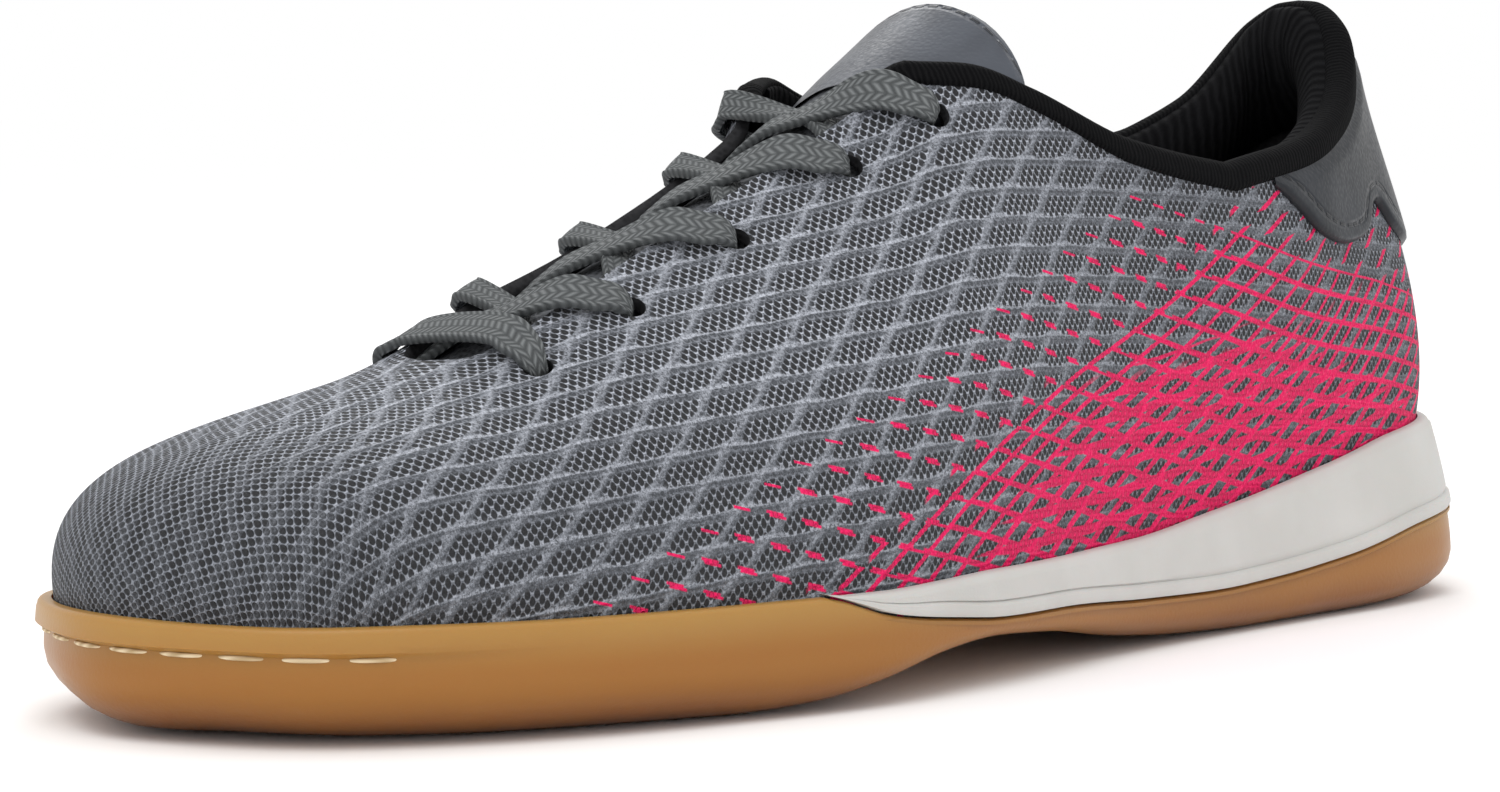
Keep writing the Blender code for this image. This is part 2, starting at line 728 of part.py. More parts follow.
def build_tongue(parts):
    steps, across_steps = TONGUE_STEPS
    first, last = TONGUE_SECTIONS["along"][0], TONGUE_SECTIONS["along"][-1]
    top, bottom = [], []
    for k in range(steps + 1):
        along = blend(first, last, k / steps)
        thick = TONGUE_THICKNESS * read(TONGUE_SECTIONS, "thickness", along)
        row_top, row_bottom = [], []
        for j in range(across_steps + 1):
            across = 2 * j / across_steps - 1
            point = tongue_surface(along, across)
            edge = 1 - TONGUE_EDGE_THINNING * abs(across) ** 4
            row_top.append(point)
            row_bottom.append(point - Vector((0, 0, thick * edge)))
        top.append(row_top)
        bottom.append(row_bottom)
    tongue = sheet_solid("tongue", top, bottom, parts)
    set_material(tongue, "tongue_grey", TONGUE_GREY, 0.5)
    shade_smooth(tongue)


def collar_section(pad, depth):
    """The collar's cross-section as (inwards, down) from the upper's top edge."""
    inner = WALL + 2 * GAP
    return [
        (0.0, -GAP),
        (-0.0002, -0.55 * BINDING_HEIGHT),
        (0.15 * BINDING_HEIGHT, -0.92 * BINDING_HEIGHT),
        (inner, -1.05 * BINDING_HEIGHT),
        (inner + 0.55 * pad, -0.75 * BINDING_HEIGHT),
        (inner + 0.92 * pad, 0.06 * depth),
        (inner + pad, 0.26 * depth),
        (inner + 0.84 * pad, 0.55 * depth),
        (inner + 0.35 * pad, 0.88 * depth),
        (inner + 0.04 * pad, depth),
        (inner, 0.5 * depth),
        (inner, -GAP),
    ]


def skin_place(side, around, inwards, down):
    """A point that lies inwards from the upper's outer skin and down the rib from its top edge."""
    run = (upper_top(side, around) - upper_foot(side, around)[0]).length * RIB_FULLNESS
    point, normal, up = upper_frame(side, around, 1 - max(down, 0) / run)
    return point - normal * inwards + up * max(-down, 0)


def build_collar(parts):
    """The padded collar, swept round the upper's top edge from one throat corner to the other."""
    last = COLLAR_SECTIONS["around"][-1]
    places = [around for around in stations() if around < last - 1 / SIDE_STEPS**2] + [last]
    route = [(LATERAL, around) for around in places[::-1]]
    route += [(MEDIAL, around) for around in places[1:]]
    rings = []
    for side, around in route:
        pad = COLLAR_PAD * read(COLLAR_SECTIONS, "pad", around)
        depth = COLLAR_DEPTH * read(COLLAR_SECTIONS, "depth", around)
        rings.append([skin_place(side, around, a, b) for a, b in collar_section(pad, depth)])
    collar = tube("collar", rings, parts)
    set_material(collar, "lining_black", LINING_BLACK, 0.85)
    shade_smooth(collar)


def share_at_level(side, around, level):
    """Where on a rib a level between the sole's rim (0) and the top edge (1) lies."""
    places = np.linspace(0, 1, LEVEL_SAMPLES)
    heights = [rib(side, around, share).z for share in places]
    height = blend(heights[0], heights[-1], level)
    return float(np.interp(height, heights, places))


def build_heel_tab(parts):
    """An overlay on the upper's own skin, between its lobed lower edge and the collar's edge."""
    steps, rows = TAB_STEPS
    reach = HEEL_TAB_EDGE["around"][-1]
    inner, outer = [], []
    for k in range(steps + 1):
        signed = blend(-reach, reach, k / steps)
        side, around = wrap(LATERAL, signed)
        low = share_at_level(side, around, float(read(HEEL_TAB_EDGE, "level", around)))
        inner_row, outer_row = [], []
        for j in range(rows + 1):
            point, normal, _ = upper_frame(side, around, blend(low, TAB_TOP_SHARE, j / rows))
            inner_row.append(point + normal * GAP)
            outer_row.append(point + normal * (GAP + TAB_THICKNESS))
        inner.append(inner_row)
        outer.append(outer_row)
    tab = sheet_solid("heel_tab", outer, inner, parts)
    set_material(tab, "tab_grey", TAB_GREY, 0.35, 0.2)
    shade_smooth(tab)


def ribbon(name, points, normals, collection):
    """A flat braided lace along a route, lying flat to the given normals."""
    half, edge = LACE_WIDTH / 2, LACE_CHAMFER_SHARE * LACE_WIDTH
    thick = LACE_THICKNESS / 2
    upper_side = [(-half, 0), (-half + edge, thick), (half - edge, thick)]
    section = upper_side + [(-a, -b) for a, b in upper_side]
    rings = []
    for i, (point, normal) in enumerate(zip(points, normals)):
        ahead = points[min(i + 1, len(points) - 1)] - points[max(i - 1, 0)]
        across = Vector(ahead).cross(Vector(normal)).normalized()
        up = across.cross(Vector(ahead)).normalized()
        rings.append([Vector(point) + across * a + up * b for a, b in section])
    return tube(name, rings, collection)


def lace_route(knots, steps):
    """A smooth route and its normals from a few (point, normal) knots."""
    points = catmull([tuple(point) for point, _ in knots], steps, False)
    normals = catmull([tuple(normal) for _, normal in knots], steps, False)
    return [Vector(point) for point in points], [Vector(normal) for normal in normals]


def throat_edge(side, x):
    """The throat edge's point at x, with the skin's normal there."""
    places = np.linspace(EYELETS["around"][-1], 1.0, THROAT_SAMPLES)
    xs = [upper_top(side, around).x for around in places]
    around = float(np.interp(-x, -np.array(xs), places))
    point, normal, _ = upper_frame(side, around, 1.0)
    return point, normal


def tongue_knot(x, y, lift):
    """A lace knot above the tongue at x and y."""
    along = share_along(x)
    half = TONGUE_HALF_WIDTH * read(TONGUE_SECTIONS, "half_width", along)
    middle = BALL_WIDTH * read(MIDDLE_LINE, "shift", along)
    point = tongue_surface(along, (y - middle) / half)
    roll = LACE_ROLL * (y - middle) / TONGUE_ARCH_RADIUS
    normal = Vector((-LACE_TILT, roll, 1.0)).normalized()
    return point + normal * lift, normal


def over_strand(number, side, lift):
    """Knots of a strand that comes out from under one side's edge and goes over the other to its eyelet."""
    clear = GAP + LACE_THICKNESS / 2
    start = eyelet_place(side, number)[0]
    end, end_normal = eyelet_place(-side, number + 1)
    middle_x = (start.x + end.x) / 2
    middle_y = (start.y + end.y) / 2
    x_out = blend(start.x, middle_x, LACE_OUT_SHARE)
    edge_out = throat_edge(side, x_out)[0]
    y_out = edge_out.y - side * LACE_CLEARANCE
    x_in = blend(end.x, middle_x, LACE_IN_SHARE)
    edge_in, edge_normal = throat_edge(-side, x_in)
    return [
        tongue_knot(x_out, y_out, clear + LACE_STAND / 2),
        tongue_knot((x_out + middle_x) / 2, (y_out + middle_y) / 2, clear + (lift + LACE_STAND) / 2),
        tongue_knot(middle_x, middle_y, clear + lift),
        (edge_in + edge_normal * (clear + LACE_STAND), edge_normal),
        (end + end_normal * (clear + LACE_STAND / 2), end_normal),
    ]


def build_laces(parts, cutters):
    """The flat lace: a straight bar over the first pair of eyelets, then one crossing for each next pair."""
    clear = GAP + LACE_THICKNESS / 2
    bar_knots = []
    for side in (LATERAL, MEDIAL):
        point, normal = eyelet_place(side, 0)
        edge, edge_normal = throat_edge(side, point.x + BAR_SETBACK)
        knots = [
            (point + normal * (clear + LACE_STAND / 2), normal),
            (edge + edge_normal * (clear + LACE_STAND), edge_normal),
        ]
        bar_knots += knots if side == LATERAL else knots[::-1]
    points, normals = lace_route(bar_knots, LACE_STEPS)
    bar = ribbon("lace_bar", points, normals, parts)
    laces = [bar]
    for number in range(len(EYELETS["around"]) - 1):
        under = lace_route(over_strand(number, LATERAL, LACE_SLACK), LACE_STEPS)
        over = lace_route(over_strand(number, MEDIAL, LACE_PILE), LACE_STEPS)
        crossing = ribbon(f"lace_crossing_{number + 1}", *under, parts)
        other = ribbon(f"over_strand_{number + 1}", *over, cutters)
        hide_cutter(other)
        boolean(crossing, other, "UNION")
        laces.append(crossing)
    for lace in laces:
        set_material(lace, lace.name + "_grey", LACE_GREY, 0.75)
        shade_smooth(lace)


def main():
    for old in list(bpy.data.objects):
        bpy.data.objects.remove(old)
    parts = bpy.data.collections.new("indoor_soccer_shoe")
    cutters = bpy.data.collections.new("cutters")
    bpy.context.scene.collection.children.link(parts)
    bpy.context.scene.collection.children.link(cutters)
    build_soles(parts, cutters)
    build_upper(parts, cutters)
    build_insole(parts)
    build_tongue(parts)
    build_collar(parts)
    build_heel_tab(parts)
    build_laces(parts, cutters)


main()
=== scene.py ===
import math
from functools import lru_cache

import bmesh
import bpy
import numpy as np
from mathutils import Matrix, Vector


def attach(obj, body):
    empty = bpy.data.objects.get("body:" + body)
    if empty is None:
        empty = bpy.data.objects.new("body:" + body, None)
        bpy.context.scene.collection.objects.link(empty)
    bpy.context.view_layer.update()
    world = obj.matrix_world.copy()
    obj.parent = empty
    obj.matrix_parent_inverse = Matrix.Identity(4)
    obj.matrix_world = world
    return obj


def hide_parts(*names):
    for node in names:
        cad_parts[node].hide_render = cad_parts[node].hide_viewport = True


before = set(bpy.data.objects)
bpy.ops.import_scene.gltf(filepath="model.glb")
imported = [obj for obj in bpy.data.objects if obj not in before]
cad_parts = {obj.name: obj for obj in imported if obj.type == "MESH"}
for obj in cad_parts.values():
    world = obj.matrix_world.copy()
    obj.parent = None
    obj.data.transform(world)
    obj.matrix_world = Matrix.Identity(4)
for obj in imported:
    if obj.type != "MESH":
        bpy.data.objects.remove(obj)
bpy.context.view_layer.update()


# Studio: a pale floor that the empty shoe stands on, a bright even surround, one broad lamp above the outer
# side of the toe, a weaker one behind the heel, and the camera at the height of the collar.

FLOOR_SIZE = 60.0
CAMERA_PLACE = Vector((-0.4517, -0.4297, 0.085))
CAMERA_TURN = math.radians(45.0)
CAMERA_DIP = math.radians(4.12)
FRAME_WIDTH, FOCAL_PIXELS, SENSOR = 1500, 3900, 36.0
WHITE = (1.0, 1.0, 1.0, 1.0)


def new_material(name):
    """A node material, with its tree and its Principled shader."""
    material = bpy.data.materials.new(name)
    material.use_nodes = True
    return material, material.node_tree, material.node_tree.nodes["Principled BSDF"]


floor_shape = bmesh.new()
bmesh.ops.create_grid(floor_shape, x_segments=2, y_segments=2, size=FLOOR_SIZE / 2)
floor_mesh = bpy.data.meshes.new("floor")
floor_shape.to_mesh(floor_mesh)
floor_shape.free()
floor = bpy.data.objects.new("floor", floor_mesh)
bpy.context.scene.collection.objects.link(floor)
floor_material, _, floor_shader = new_material("floor_paper")
floor_shader.inputs["Base Color"].default_value = WHITE
floor_shader.inputs["Roughness"].default_value = 0.75
floor_shader.inputs["Specular IOR Level"].default_value = 0.0
floor.data.materials.append(floor_material)

world = bpy.data.worlds.new("studio")
world.use_nodes = True
world.node_tree.nodes["Background"].inputs["Color"].default_value = WHITE
world.node_tree.nodes["Background"].inputs["Strength"].default_value = 1.0
bpy.context.scene.world = world


def area_lamp(name, place, target, size, power):
    lamp = bpy.data.lights.new(name, "AREA")
    lamp.shape = "DISK"
    lamp.size = size
    lamp.energy = power
    holder = bpy.data.objects.new(name, lamp)
    holder.location = place
    holder.rotation_euler = (Vector(target) - Vector(place)).to_track_quat("-Z", "Y").to_euler()
    bpy.context.scene.collection.objects.link(holder)


area_lamp("main_lamp", place=(-0.55, -0.35, 1.05), target=(0.0, 0.0, 0.03), size=0.9, power=4.5)
area_lamp("back_lamp", place=(0.75, 0.75, 0.8), target=(0.05, 0.0, 0.06), size=0.6, power=3.0)

camera = bpy.data.cameras.new("camera")
camera.sensor_width = SENSOR
camera.lens = SENSOR * FOCAL_PIXELS / FRAME_WIDTH
camera.clip_start = 0.01
camera_holder = bpy.data.objects.new("camera", camera)
camera_holder.location = CAMERA_PLACE
level = math.cos(CAMERA_DIP)
look = Vector((math.cos(CAMERA_TURN) * level, math.sin(CAMERA_TURN) * level, -math.sin(CAMERA_DIP)))
camera_holder.rotation_euler = look.to_track_quat("-Z", "Y").to_euler()
bpy.context.scene.collection.objects.link(camera_holder)
bpy.context.scene.camera = camera_holder
bpy.context.scene.view_settings.view_transform = "Standard"


# Outsole: one moulding of gum rubber. Its rounded cup wall runs round the forefoot and thickens to a bumper
# at the toe; towards the heel it thins under the foam. Chevron grooves are moulded across its tread.

LENGTH = 0.288
BALL_WIDTH = 0.103
TOE_RIM_HEIGHT, HEEL_RIM_HEIGHT = 0.0168, 0.032
FOREFOOT_BED, HEEL_BED = 0.0085, 0.0225
ARCH_LIFT, TOE_SPRING = 0.0072, 0.0006
RIM_WALL = 0.0020
BOTTOM_ROUND, BOTTOM_ROUND_HEIGHT = 0.0075, 0.0042
BUMPER_OVERHANG = 0.0011
HEEL_TAPER = 0.0047
GROOVE_WIDTH, GROOVE_DEPTH, GROOVE_PITCH = 0.0022, 0.0011, 0.0088
GROOVE_MARGIN, GROOVE_CHEVRON = 0.0020, 0.0060
GROOVE_STRETCHES = ((0.130, 0.300), (0.725, 0.935))
STEP_RISE, STEP_CREASE, RIM_SOFTNESS = 0.0008, 0.0003, 0.0009
SIDE_LEAN_POWER = 1.5
THINNEST, MERGE_DISTANCE, LEAST_EDGE = 0.0001, 0.000002, 0.000001
GAP = 0.0003
SIDE_STEPS, STATION_CROWDING, OUTLINE_STEPS = 110, 0.03, 40
LATERAL, MEDIAL = -1, 1
GUM_DARK, GUM_MIDDLE = (0.17, 0.052, 0.006, 1), (0.31, 0.124, 0.018, 1)
GUM_RIM, GUM_STAIN = (0.38, 0.205, 0.050, 1), (0.33, 0.145, 0.026, 1)


def table(columns, *rows):
    return dict(zip(columns.split(), np.array(rows, dtype=float).T))


OUTLINE = table(
    "along lateral medial",
    (0.035, 0.214, 0.308),
    (0.088, 0.330, 0.398),
    (0.176, 0.427, 0.476),
    (0.282, 0.485, 0.495),
    (0.352, 0.505, 0.466),
    (0.458, 0.476, 0.398),
    (0.563, 0.417, 0.325),
    (0.669, 0.379, 0.300),
    (0.775, 0.359, 0.322),
    (0.863, 0.345, 0.335),
    (0.926, 0.306, 0.306),
    (0.965, 0.228, 0.233),
    (0.989, 0.121, 0.126),
)
TOE_TIP_SHIFT = 0.052
SOLE_SECTIONS = table(
    "along spring arch rim split step overhang bed taper round",
    (0.000, 1.00, 0.00, 0.04, 1.90, 0.78, 1.6, 0.10, 0.14, 1.65),
    (0.015, 0.90, 0.00, 0.02, 1.85, 0.78, 1.4, 0.07, 0.13, 2.20),
    (0.040, 0.70, 0.00, 0.01, 1.75, 0.77, 1.2, 0.04, 0.11, 2.30),
    (0.080, 0.40, 0.00, 0.01, 1.65, 0.76, 0.9, 0.01, 0.10, 2.20),
    (0.160, 0.00, 0.00, 0.00, 1.45, 0.76, 0.1, 0.00, 0.10, 2.10),
    (0.260, 0.00, 0.00, 0.00, 1.18, 0.74, 0.0, 0.02, 0.10, 1.60),
    (0.315, 0.00, 0.18, 0.00, 0.96, 0.72, 0.0, 0.10, 0.10, 1.10),
    (0.348, 0.00, 0.40, 0.00, 0.79, 0.72, 0.0, 0.18, 0.10, 1.00),
    (0.400, 0.00, 0.85, 0.03, 0.68, 0.76, 0.2, 0.30, 0.10, 0.75),
    (0.440, 0.00, 1.00, 0.05, 0.62, 0.76, 0.5, 0.36, 0.12, 0.55),
    (0.500, 0.00, 0.86, 0.05, 0.60, 0.73, 0.5, 0.42, 0.16, 0.55),
    (0.590, 0.00, 0.34, 0.08, 0.51, 0.64, 0.5, 0.50, 0.30, 0.80),
    (0.670, 0.00, 0.06, 0.22, 0.47, 0.60, 0.5, 0.58, 0.50, 1.00),
    (0.720, 0.00, 0.00, 0.34, 0.50, 0.63, 0.5, 0.66, 0.62, 1.00),
    (0.800, 0.00, 0.00, 0.58, 0.61, 0.74, 0.5, 0.80, 0.80, 1.00),
    (0.880, 0.00, 0.00, 0.84, 0.82, 0.95, 0.5, 0.93, 1.00, 1.20),
    (0.940, 0.00, 0.00, 0.95, 0.93, 1.06, 0.5, 1.00, 1.00, 1.80),
    (1.000, 0.08, 0.00, 1.00, 1.02, 1.15, 0.5, 1.00, 1.00, 2.30),
)


def smooth(stations, values, at):
    """A curve through the values that never swings past them."""
    at = np.clip(at, stations[0], stations[-1])
    step = np.diff(stations)
    slope = np.diff(values) / step
    tangent = np.zeros(len(values))
    tangent[0], tangent[-1] = slope[0], slope[-1]
    weight_a = 2 * step[1:] + step[:-1]
    weight_b = step[1:] + 2 * step[:-1]
    same_way = slope[:-1] * slope[1:] > 0
    inner = np.zeros(len(slope) - 1)
    inner[same_way] = (weight_a + weight_b)[same_way] / (
        weight_a[same_way] / slope[:-1][same_way] + weight_b[same_way] / slope[1:][same_way]
    )
    tangent[1:-1] = inner
    piece = np.clip(np.searchsorted(stations, at, side="right") - 1, 0, len(step) - 1)
    share = (at - stations[piece]) / step[piece]
    return (
        values[piece] * (1 + 2 * share) * (1 - share) ** 2
        + values[piece + 1] * (3 - 2 * share) * share**2
        + tangent[piece] * step[piece] * share * (1 - share) ** 2
        - tangent[piece + 1] * step[piece] * share**2 * (1 - share)
    )


def read(source, column, at):
    """A column of a table, read between its rows by the table's first column."""
    first = next(iter(source))
    return smooth(source[first], source[column], at)


def blend(low, high, share):
    return low + (high - low) * share


def catmull(points, steps, closed):
    """A smooth line through the points."""
    points = np.array(points, dtype=float)
    count = len(points)
    line = []
    for i in range(count if closed else count - 1):
        if closed:
            p = [points[(i + k) % count] for k in (-1, 0, 1, 2)]
        else:
            before = points[i - 1] if i else 2 * points[0] - points[1]
            after = points[i + 2] if i + 2 < count else 2 * points[-1] - points[-2]
            p = [before, points[i], points[i + 1], after]
        gap = [np.linalg.norm(p[k + 1] - p[k]) ** 0.5 for k in range(3)]
        start = (p[1] - p[0]) / gap[0] - (p[2] - p[0]) / (gap[0] + gap[1]) + (p[2] - p[1]) / gap[1]
        end = (p[2] - p[1]) / gap[1] - (p[3] - p[1]) / (gap[1] + gap[2]) + (p[3] - p[2]) / gap[2]
        start, end = start * gap[1], end * gap[1]
        for k in range(steps):
            t = k / steps
            line.append(
                (2 * t**3 - 3 * t**2 + 1) * p[1]
                + (t**3 - 2 * t**2 + t) * start
                + (3 * t**2 - 2 * t**3) * p[2]
                + (t**3 - t**2) * end
            )
    if not closed:
        line.append(points[-1])
    return np.array(line)


def outline_sides():
    """The sole's outline as one dense line for each side, from the heel tip to the toe tip."""
    x = (OUTLINE["along"] - 0.5) * LENGTH
    toe_tip = (-LENGTH / 2, TOE_TIP_SHIFT * BALL_WIDTH)
    heel_tip = (LENGTH / 2, 0.0)
    lateral = list(zip(x[::-1], -OUTLINE["lateral"][::-1] * BALL_WIDTH))
    medial = list(zip(x, OUTLINE["medial"] * BALL_WIDTH))
    loop = catmull([heel_tip] + lateral + [toe_tip] + medial, OUTLINE_STEPS, True)
    loop[:, 1] -= (loop[:, 1].max() + loop[:, 1].min()) / 2
    along = np.roll(loop, -1, axis=0) - np.roll(loop, 1, axis=0)
    along /= np.linalg.norm(along, axis=1)[:, None]
    outward = np.stack([along[:, 1], -along[:, 0]], axis=1)
    if np.dot(outward[0], loop[0]) < 0:
        outward = -outward
    tip = (len(lateral) + 1) * OUTLINE_STEPS
    sides = {}
    for side, order in (
        (LATERAL, np.arange(tip + 1)),
        (MEDIAL, np.arange(len(loop), tip - 1, -1) % len(loop)),
    ):
        points = loop[order]
        run = np.concatenate([[0], np.cumsum(np.linalg.norm(np.diff(points, axis=0), axis=1))])
        sides[side] = (points, outward[order], run / run[-1])
    return sides


SIDES = outline_sides()


@lru_cache(maxsize=None)
def outline_place(side, around):
    """A point of the outline and its outward direction, from the heel (0) to the toe (1)."""
    points, outward, share = SIDES[side]
    point = np.array([np.interp(around, share, points[:, k]) for k in (0, 1)])
    out = np.array([np.interp(around, share, outward[:, k]) for k in (0, 1)])
    return point, out / np.linalg.norm(out)


def outline_point(side, around, inset=0.0):
    point, out = outline_place(side, around)
    return point - inset * out, out


def loop_places(steps=SIDE_STEPS):
    """Every place round the shoe as (side, around), the first one again at the end."""
    even = np.linspace(0.0, 1.0, steps + 1)
    places = even - STATION_CROWDING * np.sin(2 * math.pi * even)
    return [(LATERAL, float(a)) for a in places] + [(MEDIAL, float(a)) for a in places[-2::-1]]


def share_along(x):
    return x / LENGTH + 0.5


@lru_cache(maxsize=None)
def sole_height(column, x):
    along = share_along(x)
    if column == "bottom":
        spring = TOE_SPRING * read(SOLE_SECTIONS, "spring", along)
        return spring + ARCH_LIFT * read(SOLE_SECTIONS, "arch", along)
    share = read(SOLE_SECTIONS, column, along)
    if column == "rim":
        return blend(TOE_RIM_HEIGHT, HEEL_RIM_HEIGHT, share)
    if column == "bed":
        return blend(FOREFOOT_BED, HEEL_BED, share)
    return TOE_RIM_HEIGHT * share


@lru_cache(maxsize=None)
def rim_inset(x):
    return HEEL_TAPER * read(SOLE_SECTIONS, "taper", share_along(x))


@lru_cache(maxsize=None)
def edge_rounding(x):
    return read(SOLE_SECTIONS, "round", share_along(x))


@lru_cache(maxsize=None)
def overhang(x):
    return BUMPER_OVERHANG * read(SOLE_SECTIONS, "overhang", share_along(x))


def side_inset(x, z):
    """The sole's side leans in towards its rim where the heel tapers."""
    low = sole_height("bottom", x) + BOTTOM_ROUND_HEIGHT * edge_rounding(x)
    share = np.clip((z - low) / (sole_height("rim", x) - low), 0, 1)
    return rim_inset(x) * share**SIDE_LEAN_POWER


def lay_grid(shape, places, layers=()):
    """A grid in a bmesh, moved to an array of places (rows, columns, 3). layers holds (name, array) pairs
    of UV maps with the same rows and columns."""
    rows, columns = places.shape[:2]
    made = bmesh.ops.create_grid(shape, x_segments=columns - 1, y_segments=rows - 1, size=1.0)["verts"]
    cell = {}
    for vertex in made:
        i = round((vertex.co.y + 1) / 2 * (rows - 1))
        j = round((vertex.co.x + 1) / 2 * (columns - 1))
        cell[vertex] = (i, j)
    for name, values in layers:
        layer = shape.loops.layers.uv.get(name) or shape.loops.layers.uv.new(name)
        for vertex, (i, j) in cell.items():
            for loop in vertex.link_loops:
                loop[layer].uv = values[i, j]
    for vertex, (i, j) in cell.items():
        vertex.co = places[i, j]
    return made


def to_piece(name, shape, replaced, materials, crease=40):
    """Turns a bmesh into a finished piece of the shoe that stands for a CAD node."""
    bmesh.ops.remove_doubles(shape, verts=shape.verts, dist=MERGE_DISTANCE)
    bmesh.ops.dissolve_degenerate(shape, edges=shape.edges, dist=LEAST_EDGE)
    bmesh.ops.recalc_face_normals(shape, faces=shape.faces)
    mesh = bpy.data.meshes.new(name)
    shape.to_mesh(mesh)
    shape.free()
    for material in materials:
        mesh.materials.append(material)
    mesh.shade_smooth()
    mesh.set_sharp_from_angle(angle=math.radians(crease))
    piece = bpy.data.objects.new(name, mesh)
    bpy.context.scene.collection.objects.link(piece)
    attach(piece, "root")
    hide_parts(*replaced)
    return piece


def apply_modifiers(piece):
    """Keeps what the modifiers give as the piece's own mesh."""
    graph = bpy.context.evaluated_depsgraph_get()
    mesh = bpy.data.meshes.new_from_object(piece.evaluated_get(graph))
    old = piece.data
    piece.modifiers.clear()
    piece.data = mesh
    bpy.data.meshes.remove(old)


def ring_places(profile):
    """Places of a profile [(inset, height), ...] at every place round the shoe."""
    rings = []
    for side, around in loop_places():
        x = float(outline_point(side, around)[0][0])
        ring = []
        for inset, height in profile(x, around):
            ring.append((*outline_point(side, around, inset)[0], height))
        rings.append(ring)
    return np.array(rings).transpose(1, 0, 2)


def across_places(ring, steps):
    """A surface from the lateral to the medial half of a ring of places round the shoe."""
    half = (len(ring) - 1) // 2
    lateral, medial = ring[: half + 1], ring[::-1][: half + 1]
    shares = np.linspace(0, 1, steps + 1)[:, None, None]
    return lateral[None] * (1 - shares) + medial[None] * shares


def round_edge(low_inset, low, height, steps):
    """Points of a quarter round from flat on the ground to upright, as (inset, height)."""
    turns = np.linspace(0, math.pi / 2, steps + 1)
    return [(low_inset * (1 - math.sin(t)), low + height * (1 - math.cos(t))) for t in turns]


def outsole_profile(x, around):
    bottom, rim = sole_height("bottom", x), sole_height("rim", x)
    rounding = edge_rounding(x)
    top = min(sole_height("split", x), rim)
    step = min(sole_height("step", x), top - STEP_RISE)
    low = bottom + BOTTOM_ROUND_HEIGHT * rounding
    hang = overhang(x)
    points = [
        (inset + hang, z) for inset, z in round_edge(BOTTOM_ROUND * rounding, bottom, low - bottom, 7)
    ]
    for share in (0.35, 0.7, 1.0):
        z = blend(low, max(step, low), share)
        points.append((side_inset(x, z) + hang, z))
    shelf = min(max(step, low) + STEP_RISE, top - STEP_CREASE)
    points.append((side_inset(x, shelf) + hang * 0.35, shelf - STEP_CREASE))
    points.append((side_inset(x, shelf), shelf))
    for share in (0.4, 0.8):
        z = blend(shelf, top - RIM_SOFTNESS, share)
        points.append((side_inset(x, z), z))
    edge = side_inset(x, top)
    for t in np.linspace(0, math.pi / 2, 5):
        points.append((edge + RIM_SOFTNESS * (1 - math.cos(t)), top - RIM_SOFTNESS * (1 - math.sin(t))))
    points.append((edge + RIM_WALL, top))
    points.append((edge + RIM_WALL, min(sole_height("bed", x), top - THINNEST)))
    return points


def tread_grooves():
    """All chevron cutters in one bmesh, across the forefoot and the heel."""
    shape = bmesh.new()
    for first, last in GROOVE_STRETCHES:
        count = round((last - first) * LENGTH / GROOVE_PITCH)
        for k in range(count + 1):
            x = (blend(first, last, k / count) - 0.5) * LENGTH
            margin = BOTTOM_ROUND * edge_rounding(x) + overhang(x) + GROOVE_MARGIN
            lateral = -BALL_WIDTH * read(OUTLINE, "lateral", share_along(x)) + margin
            medial = BALL_WIDTH * read(OUTLINE, "medial", share_along(x)) - margin
            low = sole_height("bottom", x) - GROOVE_DEPTH
            half = GROOVE_WIDTH / 2
            bend = (lateral + medial) / 2
            ends = x + GROOVE_CHEVRON - half
            front = [(ends, lateral), (x - half, bend), (ends, medial)]
            corners = front + [(px + 2 * half, py) for px, py in front[::-1]]
            face = shape.faces.new([shape.verts.new((px, py, low)) for px, py in corners])
            body = bmesh.ops.extrude_face_region(shape, geom=[face])["geom"]
            tops = [v for v in body if isinstance(v, bmesh.types.BMVert)]
            bmesh.ops.translate(shape, verts=tops, vec=(0, 0, 2 * GROOVE_DEPTH))
    bmesh.ops.recalc_face_normals(shape, faces=shape.faces)
    return shape


def cut(piece, shape, name, material=None):
    """Cuts a piece by a bmesh of closed bodies."""
    mesh = bpy.data.meshes.new(name)
    shape.to_mesh(mesh)
    shape.free()
    if material:
        mesh.materials.append(material)
    cutter = bpy.data.objects.new(name, mesh)
    bpy.context.scene.collection.objects.link(cutter)
    modifier = piece.modifiers.new(name, "BOOLEAN")
    modifier.operation = "DIFFERENCE"
    modifier.object = cutter
    modifier.solver = "EXACT"
    apply_modifiers(piece)
    bpy.data.objects.remove(cutter)


def join(tree, socket, value):
    """Feeds a socket from another node's output, or sets it to a value."""
    if isinstance(value, bpy.types.NodeSocket):
        tree.links.new(value, socket)
    else:
        socket.default_value = value


def add_node(tree, kind, sockets=None, **settings):
    node = tree.nodes.new(kind)
    for name, value in settings.items():
        setattr(node, name, value)
    for name, value in (sockets or {}).items():
        join(tree, node.inputs[name], value)
    return node


def calc(tree, operation, *values):
    """One step of arithmetic in a node tree."""
    node = add_node(tree, "ShaderNodeMath", operation=operation)
    for socket, value in zip(node.inputs, values):
        join(tree, socket, value)
    return node.outputs[0]


def times(tree, *values):
    return calc(tree, "MULTIPLY", *values)


def plus(tree, *values):
    return calc(tree, "ADD", *values)


def minus(tree, *values):
    return calc(tree, "SUBTRACT", *values)


def ratio(tree, *values):
    return calc(tree, "DIVIDE", *values)


def largest(tree, *values):
    return calc(tree, "MAXIMUM", *values)


def ramp(tree, value, low, high, out_low=0.0, out_high=1.0):
    """A soft step of a value from low to high."""
    sockets = {"Value": value, "From Min": low, "From Max": high, "To Min": out_low, "To Max": out_high}
    node = add_node(tree, "ShaderNodeMapRange", sockets, interpolation_type="SMOOTHSTEP")
    return node.outputs[0]


